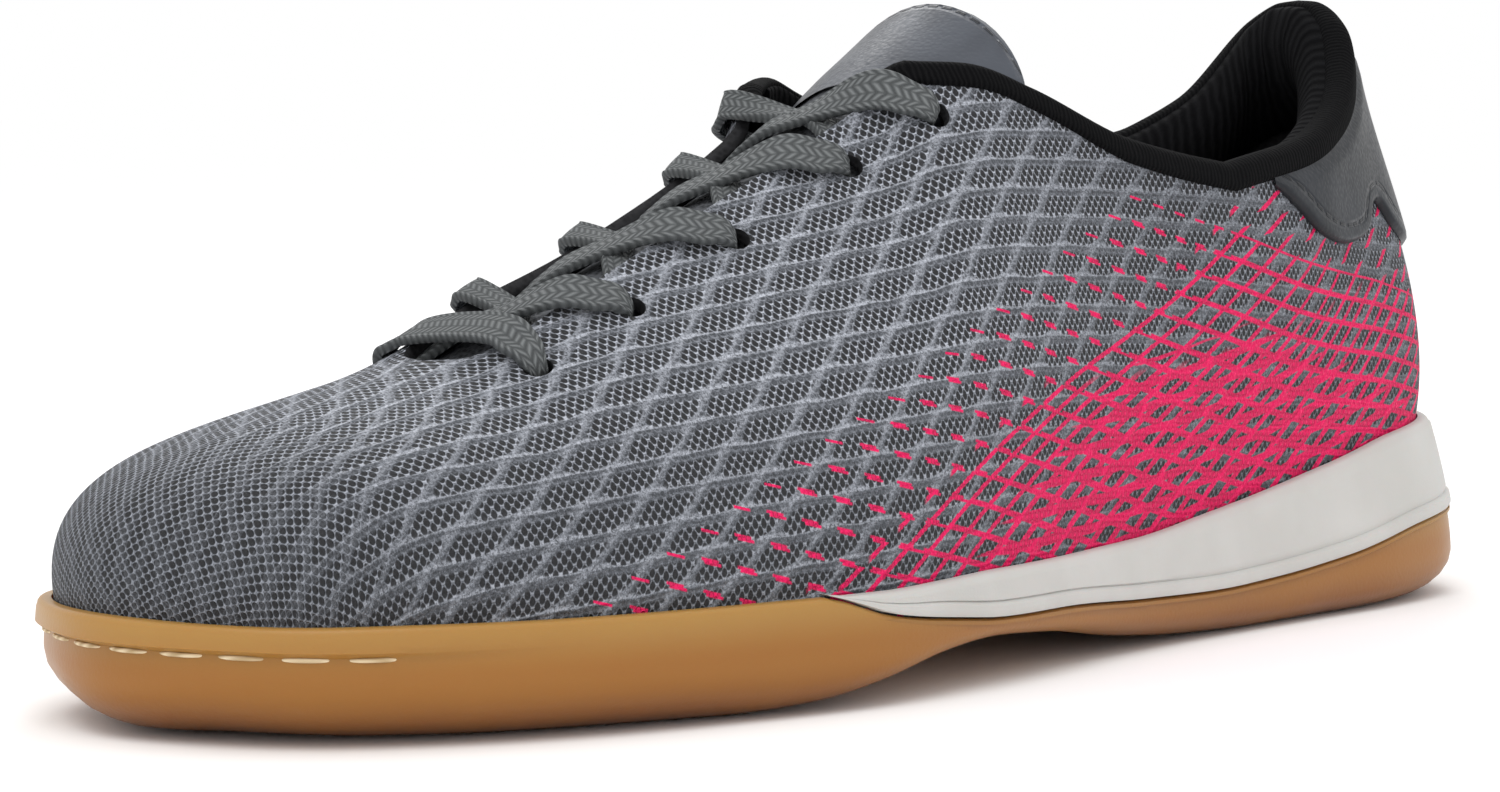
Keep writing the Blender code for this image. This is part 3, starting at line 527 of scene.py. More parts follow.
def mix_colour(tree, share, first, second):
    node = add_node(tree, "ShaderNodeMix", data_type="RGBA")
    for socket, value in zip((node.inputs[0], node.inputs[6], node.inputs[7]), (share, first, second)):
        join(tree, socket, value)
    return node.outputs[2]


def noise(tree, vector, scale, detail=2.0, roughness=0.5):
    sockets = {"Vector": vector, "Scale": scale, "Detail": detail, "Roughness": roughness}
    return add_node(tree, "ShaderNodeTexNoise", sockets).outputs["Fac"]


def bump(tree, shader, height, distance):
    """Relief on a shader, with the height in metres times distance."""
    node = add_node(tree, "ShaderNodeBump", {"Height": height, "Distance": distance})
    join(tree, shader.inputs["Normal"], node.outputs["Normal"])
    return node


gum, gum_tree, gum_shader = new_material("gum_rubber_moulding")
gum_place = add_node(gum_tree, "ShaderNodeTexCoord").outputs["Object"]
gum_z = add_node(gum_tree, "ShaderNodeSeparateXYZ", {0: gum_place}).outputs["Z"]
# The gum is darker towards the ground and lighter towards its rim.
gum_low = ramp(gum_tree, gum_z, 0.0005, 0.0085)
gum_high = ramp(gum_tree, gum_z, 0.0095, 0.0165)
gum_cloud = noise(gum_tree, gum_place, 38.0, 3.0)
gum_colour = mix_colour(gum_tree, gum_low, GUM_DARK, GUM_MIDDLE)
gum_colour = mix_colour(gum_tree, gum_high, gum_colour, GUM_RIM)
gum_cloudy = mix_colour(gum_tree, ramp(gum_tree, gum_cloud, 0.3, 0.75), gum_colour, GUM_STAIN)
gum_colour = mix_colour(gum_tree, 0.25, gum_colour, gum_cloudy)
join(gum_tree, gum_shader.inputs["Base Color"], gum_colour)
gum_grain = noise(gum_tree, gum_place, 1400.0, 2.0)
join(gum_tree, gum_shader.inputs["Roughness"], ramp(gum_tree, gum_cloud, 0.2, 0.8, 0.30, 0.44))
gum_shader.inputs["Specular IOR Level"].default_value = 0.35
gum_shader.inputs["Subsurface Weight"].default_value = 0.18
gum_shader.inputs["Subsurface Radius"].default_value = (1.0, 0.45, 0.15)
gum_shader.inputs["Subsurface Scale"].default_value = 0.004
bump(gum_tree, gum_shader, gum_grain, 0.00004)

outsole_rings = ring_places(outsole_profile)
outsole_shape = bmesh.new()
lay_grid(outsole_shape, outsole_rings)
lay_grid(outsole_shape, across_places(outsole_rings[0], 10))
lay_grid(outsole_shape, across_places(outsole_rings[-1], 4))
outsole = to_piece("outsole_moulding", outsole_shape, ["outsole"], [gum], crease=50)
cut(outsole, tread_grooves(), "tread_cutter")


# Toe stitches: a line of thick cream thread laid in the groove under the bumper, one stitch after another
# round the toe, each dipping into the rubber at both ends.

STITCH_LENGTH, STITCH_PITCH = 0.0076, 0.0090
STITCH_RADIUS = 0.00034
STITCH_LATERAL_END, STITCH_MEDIAL_END = 0.855, 0.86
STITCH_DROP, STITCH_FIRST = 0.0002, 0.001
STITCH_HANG, STITCH_BED = 0.9, 0.2
STITCH_TAPER, STITCH_SINK = 0.75, 0.0006
STITCH_SAMPLES, STITCH_KNOTS, STITCH_TURNS = 160, 9, 9
TOE_MIDDLE, UPWARDS = Vector((-0.09, 0, 0)), Vector((0, 0, 1))
CREAM_DARK, CREAM_LIGHT = (0.50, 0.36, 0.19, 1), (0.78, 0.64, 0.42, 1)


def stitch_line():
    """Points on the side of the sole at the height of the bumper's step, round the toe."""
    places = [(LATERAL, a) for a in np.linspace(STITCH_LATERAL_END, 1, STITCH_SAMPLES)]
    places += [(MEDIAL, a) for a in np.linspace(1, STITCH_MEDIAL_END, STITCH_SAMPLES)[1:]]
    points = []
    for side, around in places:
        x = float(outline_point(side, around)[0][0])
        inset = overhang(x) * STITCH_HANG + STITCH_RADIUS * STITCH_BED
        points.append((*outline_point(side, around, inset)[0], sole_height("step", x) - STITCH_DROP))
    return np.array(points)


def along_line(points, run):
    """The point of a line at each distance along it."""
    length = np.concatenate([[0], np.cumsum(np.linalg.norm(np.diff(points, axis=0), axis=1))])
    return np.stack([np.interp(run, length, points[:, k]) for k in range(3)], axis=-1), length[-1]


cream, cream_tree, cream_shader = new_material("cream_thread")
cream_place = add_node(cream_tree, "ShaderNodeTexCoord").outputs["Object"]
cream_twist = add_node(
    cream_tree, "ShaderNodeTexWave", {"Vector": cream_place, "Scale": 260.0, "Distortion": 0.6},
    bands_direction="DIAGONAL",
).outputs["Fac"]
cream_colour = mix_colour(cream_tree, cream_twist, CREAM_DARK, CREAM_LIGHT)
join(cream_tree, cream_shader.inputs["Base Color"], cream_colour)
cream_shader.inputs["Roughness"].default_value = 0.6
bump(cream_tree, cream_shader, cream_twist, 0.00006)

stitch_route = stitch_line()
stitch_total = along_line(stitch_route, [0.0])[1]
stitches_shape = bmesh.new()
for number in range(int(stitch_total / STITCH_PITCH)):
    start = number * STITCH_PITCH + STITCH_FIRST
    middle = along_line(stitch_route, np.linspace(start, start + STITCH_LENGTH, STITCH_KNOTS))[0]
    rings = []
    for k, point in enumerate(middle):
        ahead = Vector(middle[min(k + 1, STITCH_KNOTS - 1)] - middle[max(k - 1, 0)]).normalized()
        out = ahead.cross(UPWARDS).normalized()
        share = abs(k / (STITCH_KNOTS // 2) - 1)
        thick = STITCH_RADIUS * (1 - STITCH_TAPER * share**4)
        sunk = -STITCH_SINK * share**3
        sign = 1 if out.dot(Vector((point[0], point[1], 0)) - TOE_MIDDLE) > 0 else -1
        centre = Vector(point) + out * sign * sunk
        turns = np.linspace(0, 2 * math.pi, STITCH_TURNS)
        rings.append([centre + (out * math.cos(t) + UPWARDS * math.sin(t)) * thick for t in turns])
    lay_grid(stitches_shape, np.array(rings))
bmesh.ops.remove_doubles(stitches_shape, verts=stitches_shape.verts, dist=MERGE_DISTANCE)
bmesh.ops.holes_fill(stitches_shape, edges=stitches_shape.edges)
to_piece("toe_stitches", stitches_shape, ["outsole"], [cream], crease=60)


# Midsole: a wedge of white moulded foam glued on the outsole from the waist back round the heel, with a
# fine moulded line just above the gum and a soft upper edge that hides the upper's feather line.

MIDSOLE_START, MIDSOLE_SEAT = 0.30, 0.010
MIDSOLE_LINE_RISE, MIDSOLE_LINE_DEPTH, MIDSOLE_STRIP = 0.0022, 0.00035, 0.0004
MIDSOLE_LINE_LIFT, MIDSOLE_OVERLAP = 0.0001, 0.0002
MIDSOLE_FULL_SPAN, MIDSOLE_LIFT_SPAN = 0.006, 0.004
MIDSOLE_SOFTNESS, MIDSOLE_THINNEST = 0.0012, 0.00005
FOAM_SHADE, FOAM_LIGHT = (0.50, 0.490, 0.465, 1), (0.56, 0.552, 0.530, 1)


def midsole_profile(x, around):
    rim = sole_height("rim", x)
    low = sole_height("split", x) + GAP
    high = max(rim, low + MIDSOLE_THINNEST)
    bed = max(low, min(sole_height("bed", x), high))
    span = high - low
    line = low + min(MIDSOLE_LINE_RISE, 0.45 * span)
    fade = min(span / MIDSOLE_FULL_SPAN, 1.0)
    groove = MIDSOLE_LINE_DEPTH * fade
    strip = MIDSOLE_STRIP * fade
    inner = rim_inset(x) + RIM_WALL
    points = [(inner + MIDSOLE_SEAT, low), (side_inset(x, low) + MIDSOLE_OVERLAP - strip, low)]
    for share in (0.15, 0.5, 0.8):
        z = blend(low, line, share)
        points.append((side_inset(x, z) - strip, z))
    lift = MIDSOLE_LINE_LIFT * min(span / MIDSOLE_LIFT_SPAN, 1)
    points.append((side_inset(x, line) + groove, line + lift))
    after = blend(line, high, 0.06)
    points.append((side_inset(x, after), after))
    softness = min(MIDSOLE_SOFTNESS, 0.3 * span)
    for share in np.linspace(0.15, 1.0, 9):
        z = blend(line, high - softness, share)
        points.append((side_inset(x, z), z))
    edge = side_inset(x, high)
    for t in np.linspace(0.3, math.pi / 2, 4):
        points.append((edge + softness * (1 - math.cos(t)), high - softness * (1 - math.sin(t))))
    points += [(inner, high), (inner, bed), (inner + MIDSOLE_SEAT, bed)]
    points.append(points[0])
    return points


foam, foam_tree, foam_shader = new_material("white_foam_moulding")
foam_place = add_node(foam_tree, "ShaderNodeTexCoord").outputs["Object"]
foam_cloud = noise(foam_tree, foam_place, 55.0, 4.0)
foam_colour = mix_colour(foam_tree, ramp(foam_tree, foam_cloud, 0.3, 0.8), FOAM_SHADE, FOAM_LIGHT)
join(foam_tree, foam_shader.inputs["Base Color"], foam_colour)
join(foam_tree, foam_shader.inputs["Roughness"], ramp(foam_tree, foam_cloud, 0.2, 0.8, 0.50, 0.62))
foam_shader.inputs["Subsurface Weight"].default_value = 0.08
foam_shader.inputs["Subsurface Scale"].default_value = 0.002
bump(foam_tree, foam_shader, noise(foam_tree, foam_place, 2200.0, 2.0), 0.00003)

midsole_rings = ring_places(midsole_profile)
midsole_along = share_along(ring_places(lambda x, around: [(0, x)])[0][:, 2])
keep = np.where(midsole_along >= MIDSOLE_START)[0]
half_way = len(midsole_along) // 2
lateral_part = midsole_rings[:, keep[keep < half_way]]
medial_part = midsole_rings[:, keep[keep > half_way]]
midsole_shape = bmesh.new()
lay_grid(midsole_shape, np.concatenate([medial_part, lateral_part[:, 1:]], axis=1))
to_piece("midsole_wedge", midsole_shape, ["midsole"], [foam], crease=45)


# Insole: a thin foam sock liner covered with black cloth, loose on the footbed inside the upper.

WALL = 0.0022
INSOLE_THICKNESS = 0.0040
INSOLE_EDGE = ((0.0, 0.001), (0.0004, 0.0003), (0.0012, 0.0))
LINER_DARK, LINER_LIGHT = (0.010, 0.010, 0.011, 1), (0.022, 0.022, 0.024, 1)


def insole_profile(x, around):
    clear = rim_inset(x) + RIM_WALL + GAP + WALL + 2 * GAP
    bed = sole_height("bed", x)
    top = bed + INSOLE_THICKNESS
    return [(clear, bed + GAP)] + [(clear + inwards, top - down) for inwards, down in INSOLE_EDGE]


liner, liner_tree, liner_shader = new_material("black_liner_cloth")
liner_place = add_node(liner_tree, "ShaderNodeTexCoord").outputs["Object"]
liner_weave = add_node(
    liner_tree, "ShaderNodeTexVoronoi", {"Vector": liner_place, "Scale": 900.0}
).outputs["Distance"]
liner_colour = mix_colour(liner_tree, ramp(liner_tree, liner_weave, 0.0, 0.7), LINER_DARK, LINER_LIGHT)
join(liner_tree, liner_shader.inputs["Base Color"], liner_colour)
liner_shader.inputs["Roughness"].default_value = 0.9
liner_shader.inputs["Specular IOR Level"].default_value = 0.25
bump(liner_tree, liner_shader, liner_weave, 0.0002)

insole_rings = ring_places(insole_profile)
insole_shape = bmesh.new()
lay_grid(insole_shape, insole_rings)
lay_grid(insole_shape, across_places(insole_rings[0], 6))
lay_grid(insole_shape, across_places(insole_rings[-1], 16))
insole = to_piece("insole_liner", insole_shape, ["insole"], [liner], crease=60)


# Upper: one piece of knitted mesh lasted over the sole, open at the collar, the throat and underneath. Rows
# of slanting cells with fine open knit run along it, a thin line net is printed on both sides of the heel,
# and five pairs of eyelet holes are punched along its cut throat edges.

THROAT_HEIGHT, INSTEP_HEIGHT, ANKLE_HEIGHT, HEEL_HEIGHT = 0.0500, 0.0910, 0.0740, 0.1025
FOOT_BULGE = 0.0035
MEDIAL_DROP = 0.0038
THROAT_HALF = 0.0120
EYELET_RADIUS, EYELET_INSET = 0.0022, 0.0075
RIB_FULLNESS = 1.12
RIB_STEPS, RIB_NUDGE, ROUND_NUDGE = 44, 0.004, 0.004
ROW_RISE, TOE_ROW_RISE = 0.075, 0.9
ROW_RISE_FROM, ROW_RISE_SPAN = -0.030, 0.060
FRONT_FROM, FRONT_SPAN = -0.010, 0.050
TOP_FROM, TOP_SPAN = 0.20, 0.65
TOE_FROM, TOE_SPAN = -0.098, 0.040
LAY_ROUNDS, LAY_CLOSE, LAY_WEIGHTS = 1500, 1e-18, (0.2, 20)
TINY_STEP, NO_LENGTH = 1e-5, 1e-12
WIDEST_SHARE = 0.32
MILLIMETRE = 0.001
KNIT_CELL = {"Cell Length": 9.9, "Row Pitch": 4.65, "Slant": 1.22}
HOLE_PITCH, HOLE_ROW_PITCH = 1.5, 1.95
PLAIN_FROM, PLAIN_TO, PLAIN_MOST = -0.110, -0.136, 0.70
GREY_DARK, GREY_LIGHT = (0.070, 0.075, 0.085, 1), (0.094, 0.101, 0.114, 1)
# The light flecks are painted glints; the dark ones are the yarn's own random tone.
FLECK_GLINT, FLECK_DARK = (0.30, 0.32, 0.37, 1), (0.038, 0.040, 0.045, 1)
# Painted highlights on the knit: on the lower rims of its holes, and on the light yarn of its cells' edges.
RIM_HIGHLIGHT, EDGE_YARN_AND_HIGHLIGHT = (0.48, 0.505, 0.57, 1), (0.54, 0.565, 0.63, 1)
OPEN_BLACK = (0.020, 0.020, 0.021, 1)
PINK, PINK_SPARKLE = (0.80, 0.011, 0.115, 1), (0.95, 0.024, 0.155, 1)

UPPER_SECTIONS = table(
    "around along half_width level rise bulge lean reach",
    (0.000, 0.917, 0.000, 3.000, 0.37, 1.00, 83.0, 0.27),
    (0.030, 0.9152, 0.041, 2.988, 0.37, 1.00, 83.0, 0.27),
    (0.080, 0.905, 0.107, 2.866, 0.37, 1.00, 83.0, 0.28),
    (0.150, 0.873, 0.189, 2.516, 0.37, 1.00, 83.0, 0.32),
    (0.200, 0.835, 0.243, 2.298, 0.37, 0.95, 83.0, 0.35),
    (0.270, 0.785, 0.286, 2.137, 0.37, 0.90, 82.0, 0.37),
    (0.350, 0.704, 0.311, 2.000, 0.37, 0.86, 81.0, 0.37),
    (0.440, 0.616, 0.301, 1.735, 0.36, 0.80, 78.0, 0.35),
    (0.500, 0.546, 0.267, 1.259, 0.35, 0.70, 72.0, 0.33),
    (0.540, 0.504, 0.235, 1.035, 0.35, 0.60, 66.0, 0.33),
    (0.565, 0.472, 0.184, 1.000, 0.36, 0.57, 58.0, 0.34),
    (0.590, 0.447, 0.134, 0.878, 0.38, 0.57, 50.0, 0.36),
    (0.620, 0.405, 0.120, 0.720, 0.40, 0.57, 46.0, 0.37),
    (0.680, 0.328, 0.112, 0.463, 0.42, 0.57, 41.0, 0.38),
    (0.750, 0.257, 0.111, 0.232, 0.44, 0.51, 34.0, 0.43),
    (0.810, 0.215, 0.098, 0.073, 0.50, 0.46, 28.0, 0.48),
    (0.890, 0.197, 0.064, 0.012, 0.64, 0.75, 21.0, 0.50),
    (1.000, 0.190, 0.000, 0.000, 0.68, 1.00, 19.5, 0.50),
)
MIDDLE_LINE = table(
    "along shift drop",
    (0.00, 0.058, 0.00),
    (0.15, 0.005, 0.00),
    (0.21, -0.010, 0.20),
    (0.33, -0.020, 1.00),
    (0.45, -0.028, 1.00),
    (0.52, -0.012, 0.40),
    (0.62, 0.000, 0.00),
    (0.79, 0.000, 0.20),
    (0.84, 0.000, 0.95),
    (0.87, 0.000, 0.95),
    (0.91, 0.000, 0.10),
    (1.00, 0.000, 0.00),
)
EYELETS = table(
    "around inset",
    (0.797, 1.00),
    (0.728, 1.00),
    (0.662, 1.00),
    (0.605, 1.00),
    (0.562, 1.00),
)


@lru_cache(maxsize=None)
def upper_foot(side, around):
    """Where a rib leaves the sole, and its outward direction there."""
    x = float(outline_point(side, around)[0][0])
    point, out = outline_point(side, around, rim_inset(x) + RIM_WALL + GAP)
    return Vector((*point, sole_height("rim", x))), Vector((*out, 0.0))


@lru_cache(maxsize=None)
def upper_top(side, around):
    """The top edge of a rib: the throat edge in front, the collar edge behind."""
    along = read(UPPER_SECTIONS, "along", around)
    level = read(UPPER_SECTIONS, "level", around)
    heights = (THROAT_HEIGHT, INSTEP_HEIGHT, ANKLE_HEIGHT, HEEL_HEIGHT)
    half = BALL_WIDTH * read(UPPER_SECTIONS, "half_width", around)
    middle = BALL_WIDTH * read(MIDDLE_LINE, "shift", along)
    height = np.interp(level, range(len(heights)), heights)
    lower = MEDIAL_DROP * read(MIDDLE_LINE, "drop", along) * (0.5 + 0.5 * side * min(half / THROAT_HALF, 1))
    return Vector(((along - 0.5) * LENGTH, middle + side * half, height - lower))


@lru_cache(maxsize=None)
def rib_corners(side, around):
    """The four control points of a rib of the outer skin."""
    foot, out = upper_foot(side, around)
    top = upper_top(side, around)
    rise = read(UPPER_SECTIONS, "rise", around) * (top.z - foot.z)
    bulge = read(UPPER_SECTIONS, "bulge", around) * FOOT_BULGE
    lean = math.radians(float(read(UPPER_SECTIONS, "lean", around)))
    reach = read(UPPER_SECTIONS, "reach", around) * (top - foot).length
    low = foot + Vector((0, 0, rise)) + out * bulge
    high = top + (out * math.cos(lean) - Vector((0, 0, math.sin(lean)))) * reach
    return foot, low, high, top


def rib(side, around, share):
    """A point of the upper's outer skin: share 0 at the sole's rim, 1 at the top edge."""
    foot, low, high, top = rib_corners(side, around)
    rest = 1 - share
    return foot * rest**3 + low * 3 * rest**2 * share + high * 3 * rest * share**2 + top * share**3


def wrap(side, around):
    """A place past the heel or toe tip belongs to the other side."""
    if around < 0:
        return -side, -around
    if around > 1:
        return side * -1, 2 - around
    return side, around


def upper_frame(side, around, share):
    """A point of the outer skin, its outward normal and its direction up the rib."""
    point = rib(side, around, share)
    up = rib(side, around, min(share + RIB_NUDGE, 1)) - rib(side, around, max(share - RIB_NUDGE, 0))
    after = rib(*wrap(side, around + ROUND_NUDGE), share)
    ahead = after - rib(*wrap(side, around - ROUND_NUDGE), share)
    normal = ahead.cross(up) * side
    return point, normal.normalized(), up.normalized()


def eyelet_place(side, number):
    """The middle of an eyelet on the outer skin, and the skin's normal there."""
    around = float(EYELETS["around"][number])
    run = (upper_top(side, around) - upper_foot(side, around)[0]).length * RIB_FULLNESS
    share = 1 - EYELET_INSET * float(EYELETS["inset"][number]) / run
    point, normal, _ = upper_frame(side, around, share)
    return point, normal


def rib_run(points):
    """Distance up each rib, for a grid of points (rows, places, 3)."""
    steps = np.linalg.norm(np.diff(points, axis=0), axis=2)
    return np.concatenate([np.zeros((1, points.shape[1])), np.cumsum(steps, axis=0)])


def outward_normals(points):
    """Normals of a grid of points round the shoe, all facing away from the foot."""
    normal = np.cross(np.gradient(points, axis=1), np.gradient(points, axis=0))
    normal /= np.linalg.norm(normal, axis=2)[:, :, None] + NO_LENGTH
    away = np.array([(*outline_place(side, around)[1], 1.0) for side, around in loop_places()])
    facing = (normal * away[None]).sum(axis=2)
    return normal * np.where(facing < 0, -1.0, 1.0)[:, :, None]


def soft_step(values):
    values = np.clip(values, 0, 1)
    return values * values * (3 - 2 * values)


def cloth_directions(points):
    """The knit's two directions on a grid of points: heelwards along its rows, and over the foot from the
    outer to the inner side. Rows follow the side behind the ball and run straight off the toe in front."""
    normal = outward_normals(points)
    back = []
    for side, around in loop_places():
        behind = outline_point(side, max(around - ROUND_NUDGE, 0.0))[0]
        ahead = outline_point(side, min(around + ROUND_NUDGE, 1.0))[0]
        back.append((*(behind - ahead), 0.0))
    back = np.array(back)
    back /= np.linalg.norm(back, axis=1)[:, None]
    rising = soft_step((points[:, :, :1] - ROW_RISE_FROM) / ROW_RISE_SPAN)
    back = back[None] - np.array([0, 0, ROW_RISE]) * rising
    front = soft_step((FRONT_FROM - points[:, :, 0]) / FRONT_SPAN)
    share = np.linspace(0, 1, len(points))[:, None]
    top = soft_step((share - TOP_FROM) / TOP_SPAN)
    toe = soft_step((TOE_FROM - points[:, :, 0]) / TOE_SPAN)
    front = (front * np.maximum(top, toe))[:, :, None]
    forward = np.array([1.0, 0.0, 0.0]) + np.array([0.0, 0.0, TOE_ROW_RISE]) * toe[:, :, None]
    rows = back * (1 - front) + forward * front
    rows -= normal * (rows * normal).sum(axis=2)[:, :, None]
    rows /= np.linalg.norm(rows, axis=2)[:, :, None] + NO_LENGTH
    return rows, np.cross(normal, rows)


def laid_flat(points, direction):
    """One number for each point of a grid that grows by the length of every step that runs in a direction,
    as nearly as cloth laid on a curved form allows. Solved by conjugate gradients."""

    def steps(values):
        return values[:, 1:] - values[:, :-1], values[1:] - values[:-1]

    def gather(round_steps, rib_steps):
        total = np.zeros(points.shape[:2])
        total[:, 1:] += round_steps
        total[:, :-1] -= round_steps
        total[1:] += rib_steps
        total[:-1] -= rib_steps
        return total

    round_step, rib_step = steps(points)
    round_length = np.linalg.norm(round_step, axis=2) + TINY_STEP
    rib_length = np.linalg.norm(rib_step, axis=2) + TINY_STEP
    round_weight = np.clip(rib_length.mean() / round_length, *LAY_WEIGHTS)
    rib_weight = np.clip(round_length.mean() / rib_length, *LAY_WEIGHTS)
    round_goal = (round_step * (direction[:, 1:] + direction[:, :-1]) / 2).sum(axis=2) * round_weight
    rib_goal = (rib_step * (direction[1:] + direction[:-1]) / 2).sum(axis=2) * rib_weight
    values = np.zeros(points.shape[:2])
    left = gather(round_goal, rib_goal)
    way = left.copy()
    energy = (left * left).sum()
    for _ in range(LAY_ROUNDS):
        round_way, rib_way = steps(way)
        pushed = gather(round_way * round_weight, rib_way * rib_weight)
        stride = energy / (way * pushed).sum()
        values += stride * way
        left -= stride * pushed
        fresh = (left * left).sum()
        if fresh < LAY_CLOSE:
            break
        way = left + way * fresh / energy
        energy = fresh
    return values


def knit_cells(name):
    """The jacquard knit. Across and Up are millimetres on the cloth. Open is the dark of the small holes in
    each slanting cell, Rim a painted highlight on the lower side of each hole, Edge the light yarn at the
    foot of each row and on the cells' right sides with a painted highlight on it, and Height the relief in
    millimetres."""
    group = bpy.data.node_groups.new(name, "ShaderNodeTree")
    for socket in ("Across", "Up", "Cell Length", "Row Pitch", "Slant", "Plain"):
        group.interface.new_socket(socket, in_out="INPUT", socket_type="NodeSocketFloat")
    for socket in ("Open", "Rim", "Edge", "Height"):
        group.interface.new_socket(socket, in_out="OUTPUT", socket_type="NodeSocketFloat")
    given = group.nodes.new("NodeGroupInput").outputs
    made = group.nodes.new("NodeGroupOutput").inputs
    across, up = given["Across"], given["Up"]
    spot = add_node(group, "ShaderNodeCombineXYZ", {0: across, 1: up}).outputs[0]
    wander = noise(group, spot, 0.16, 2.0)
    up = plus(group, up, times(group, minus(group, wander, 0.5), 0.9))
    row = ratio(group, up, given["Row Pitch"])
    slanted = minus(group, across, times(group, up, given["Slant"]))
    # Place and level say how far along its cell and up its row a spot lies, from 0 to 1.
    place = calc(group, "FRACT", ratio(group, slanted, given["Cell Length"]))
    level = calc(group, "FRACT", row)

    def oval(value, middle, half, power):
        off = calc(group, "ABSOLUTE", minus(group, value, middle))
        return calc(group, "POWER", ratio(group, off, half), power)

    cell = plus(group, oval(place, 0.44, 0.42, 2.6), oval(level, 0.50, 0.44, 3.0))
    inside = times(group, ramp(group, cell, 1.15, 0.80), ramp(group, level, 0.84, 0.72))
    inside = largest(group, inside, given["Plain"])
    shaped = minus(group, 1.0, given["Plain"])
    hole_across = ratio(group, across, HOLE_PITCH)
    hole_up = ratio(group, up, HOLE_ROW_PITCH)
    holes, rims = [], []
    for shift in (0.0, 0.5):
        dx = minus(group, calc(group, "FRACT", plus(group, hole_across, shift)), 0.5)
        dy = minus(group, calc(group, "FRACT", plus(group, hole_up, shift)), 0.5)
        reach = plus(group, oval(dx, 0.0, 0.30, 2.0), oval(dy, 0.0, 0.36, 2.0))
        holes.append(ramp(group, reach, 1.2, 0.45))
        # Painted highlight: the lower side of each hole's rim is painted lit.
        lit = times(group, ramp(group, reach, 0.9, 1.4), ramp(group, dy, 0.10, -0.30))
        rims.append(times(group, lit, ramp(group, reach, 3.0, 2.0)))
    hole = largest(group, *holes)
    rim = largest(group, *rims)
    join(group, made["Rim"], times(group, rim, ramp(group, inside, 0.0, 1.0, 0.35, 1.0)))
    join(group, made["Open"], times(group, hole, inside))
    # The foot of each row and the right side of each cell: light yarn with a painted highlight on it.
    low_edge = times(group, ramp(group, level, 0.0, 0.05), ramp(group, level, 0.24, 0.09))
    right_edge = times(group, ramp(group, place, 0.66, 0.84), ramp(group, place, 1.0, 0.88))
    edge = largest(group, low_edge, times(group, right_edge, 0.55))
    join(group, made["Edge"], times(group, edge, shaped))
    band = ramp(group, calc(group, "ABSOLUTE", minus(group, level, 0.5)), 0.36, 0.5)
    divider = ramp(group, calc(group, "ABSOLUTE", minus(group, place, 0.44)), 0.36, 0.5)
    ridge = largest(group, band, times(group, divider, 0.8))
    ridge = times(group, ridge, shaped)
    relief = minus(group, times(group, ridge, 0.34), times(group, hole, 0.16))
    relief = minus(group, relief, times(group, times(group, hole, inside), 0.2))
    yarn = noise(group, spot, 2.6, 2.0, 0.7)
    relief = plus(group, relief, times(group, yarn, 0.22))
    join(group, made["Height"], relief)
    return group


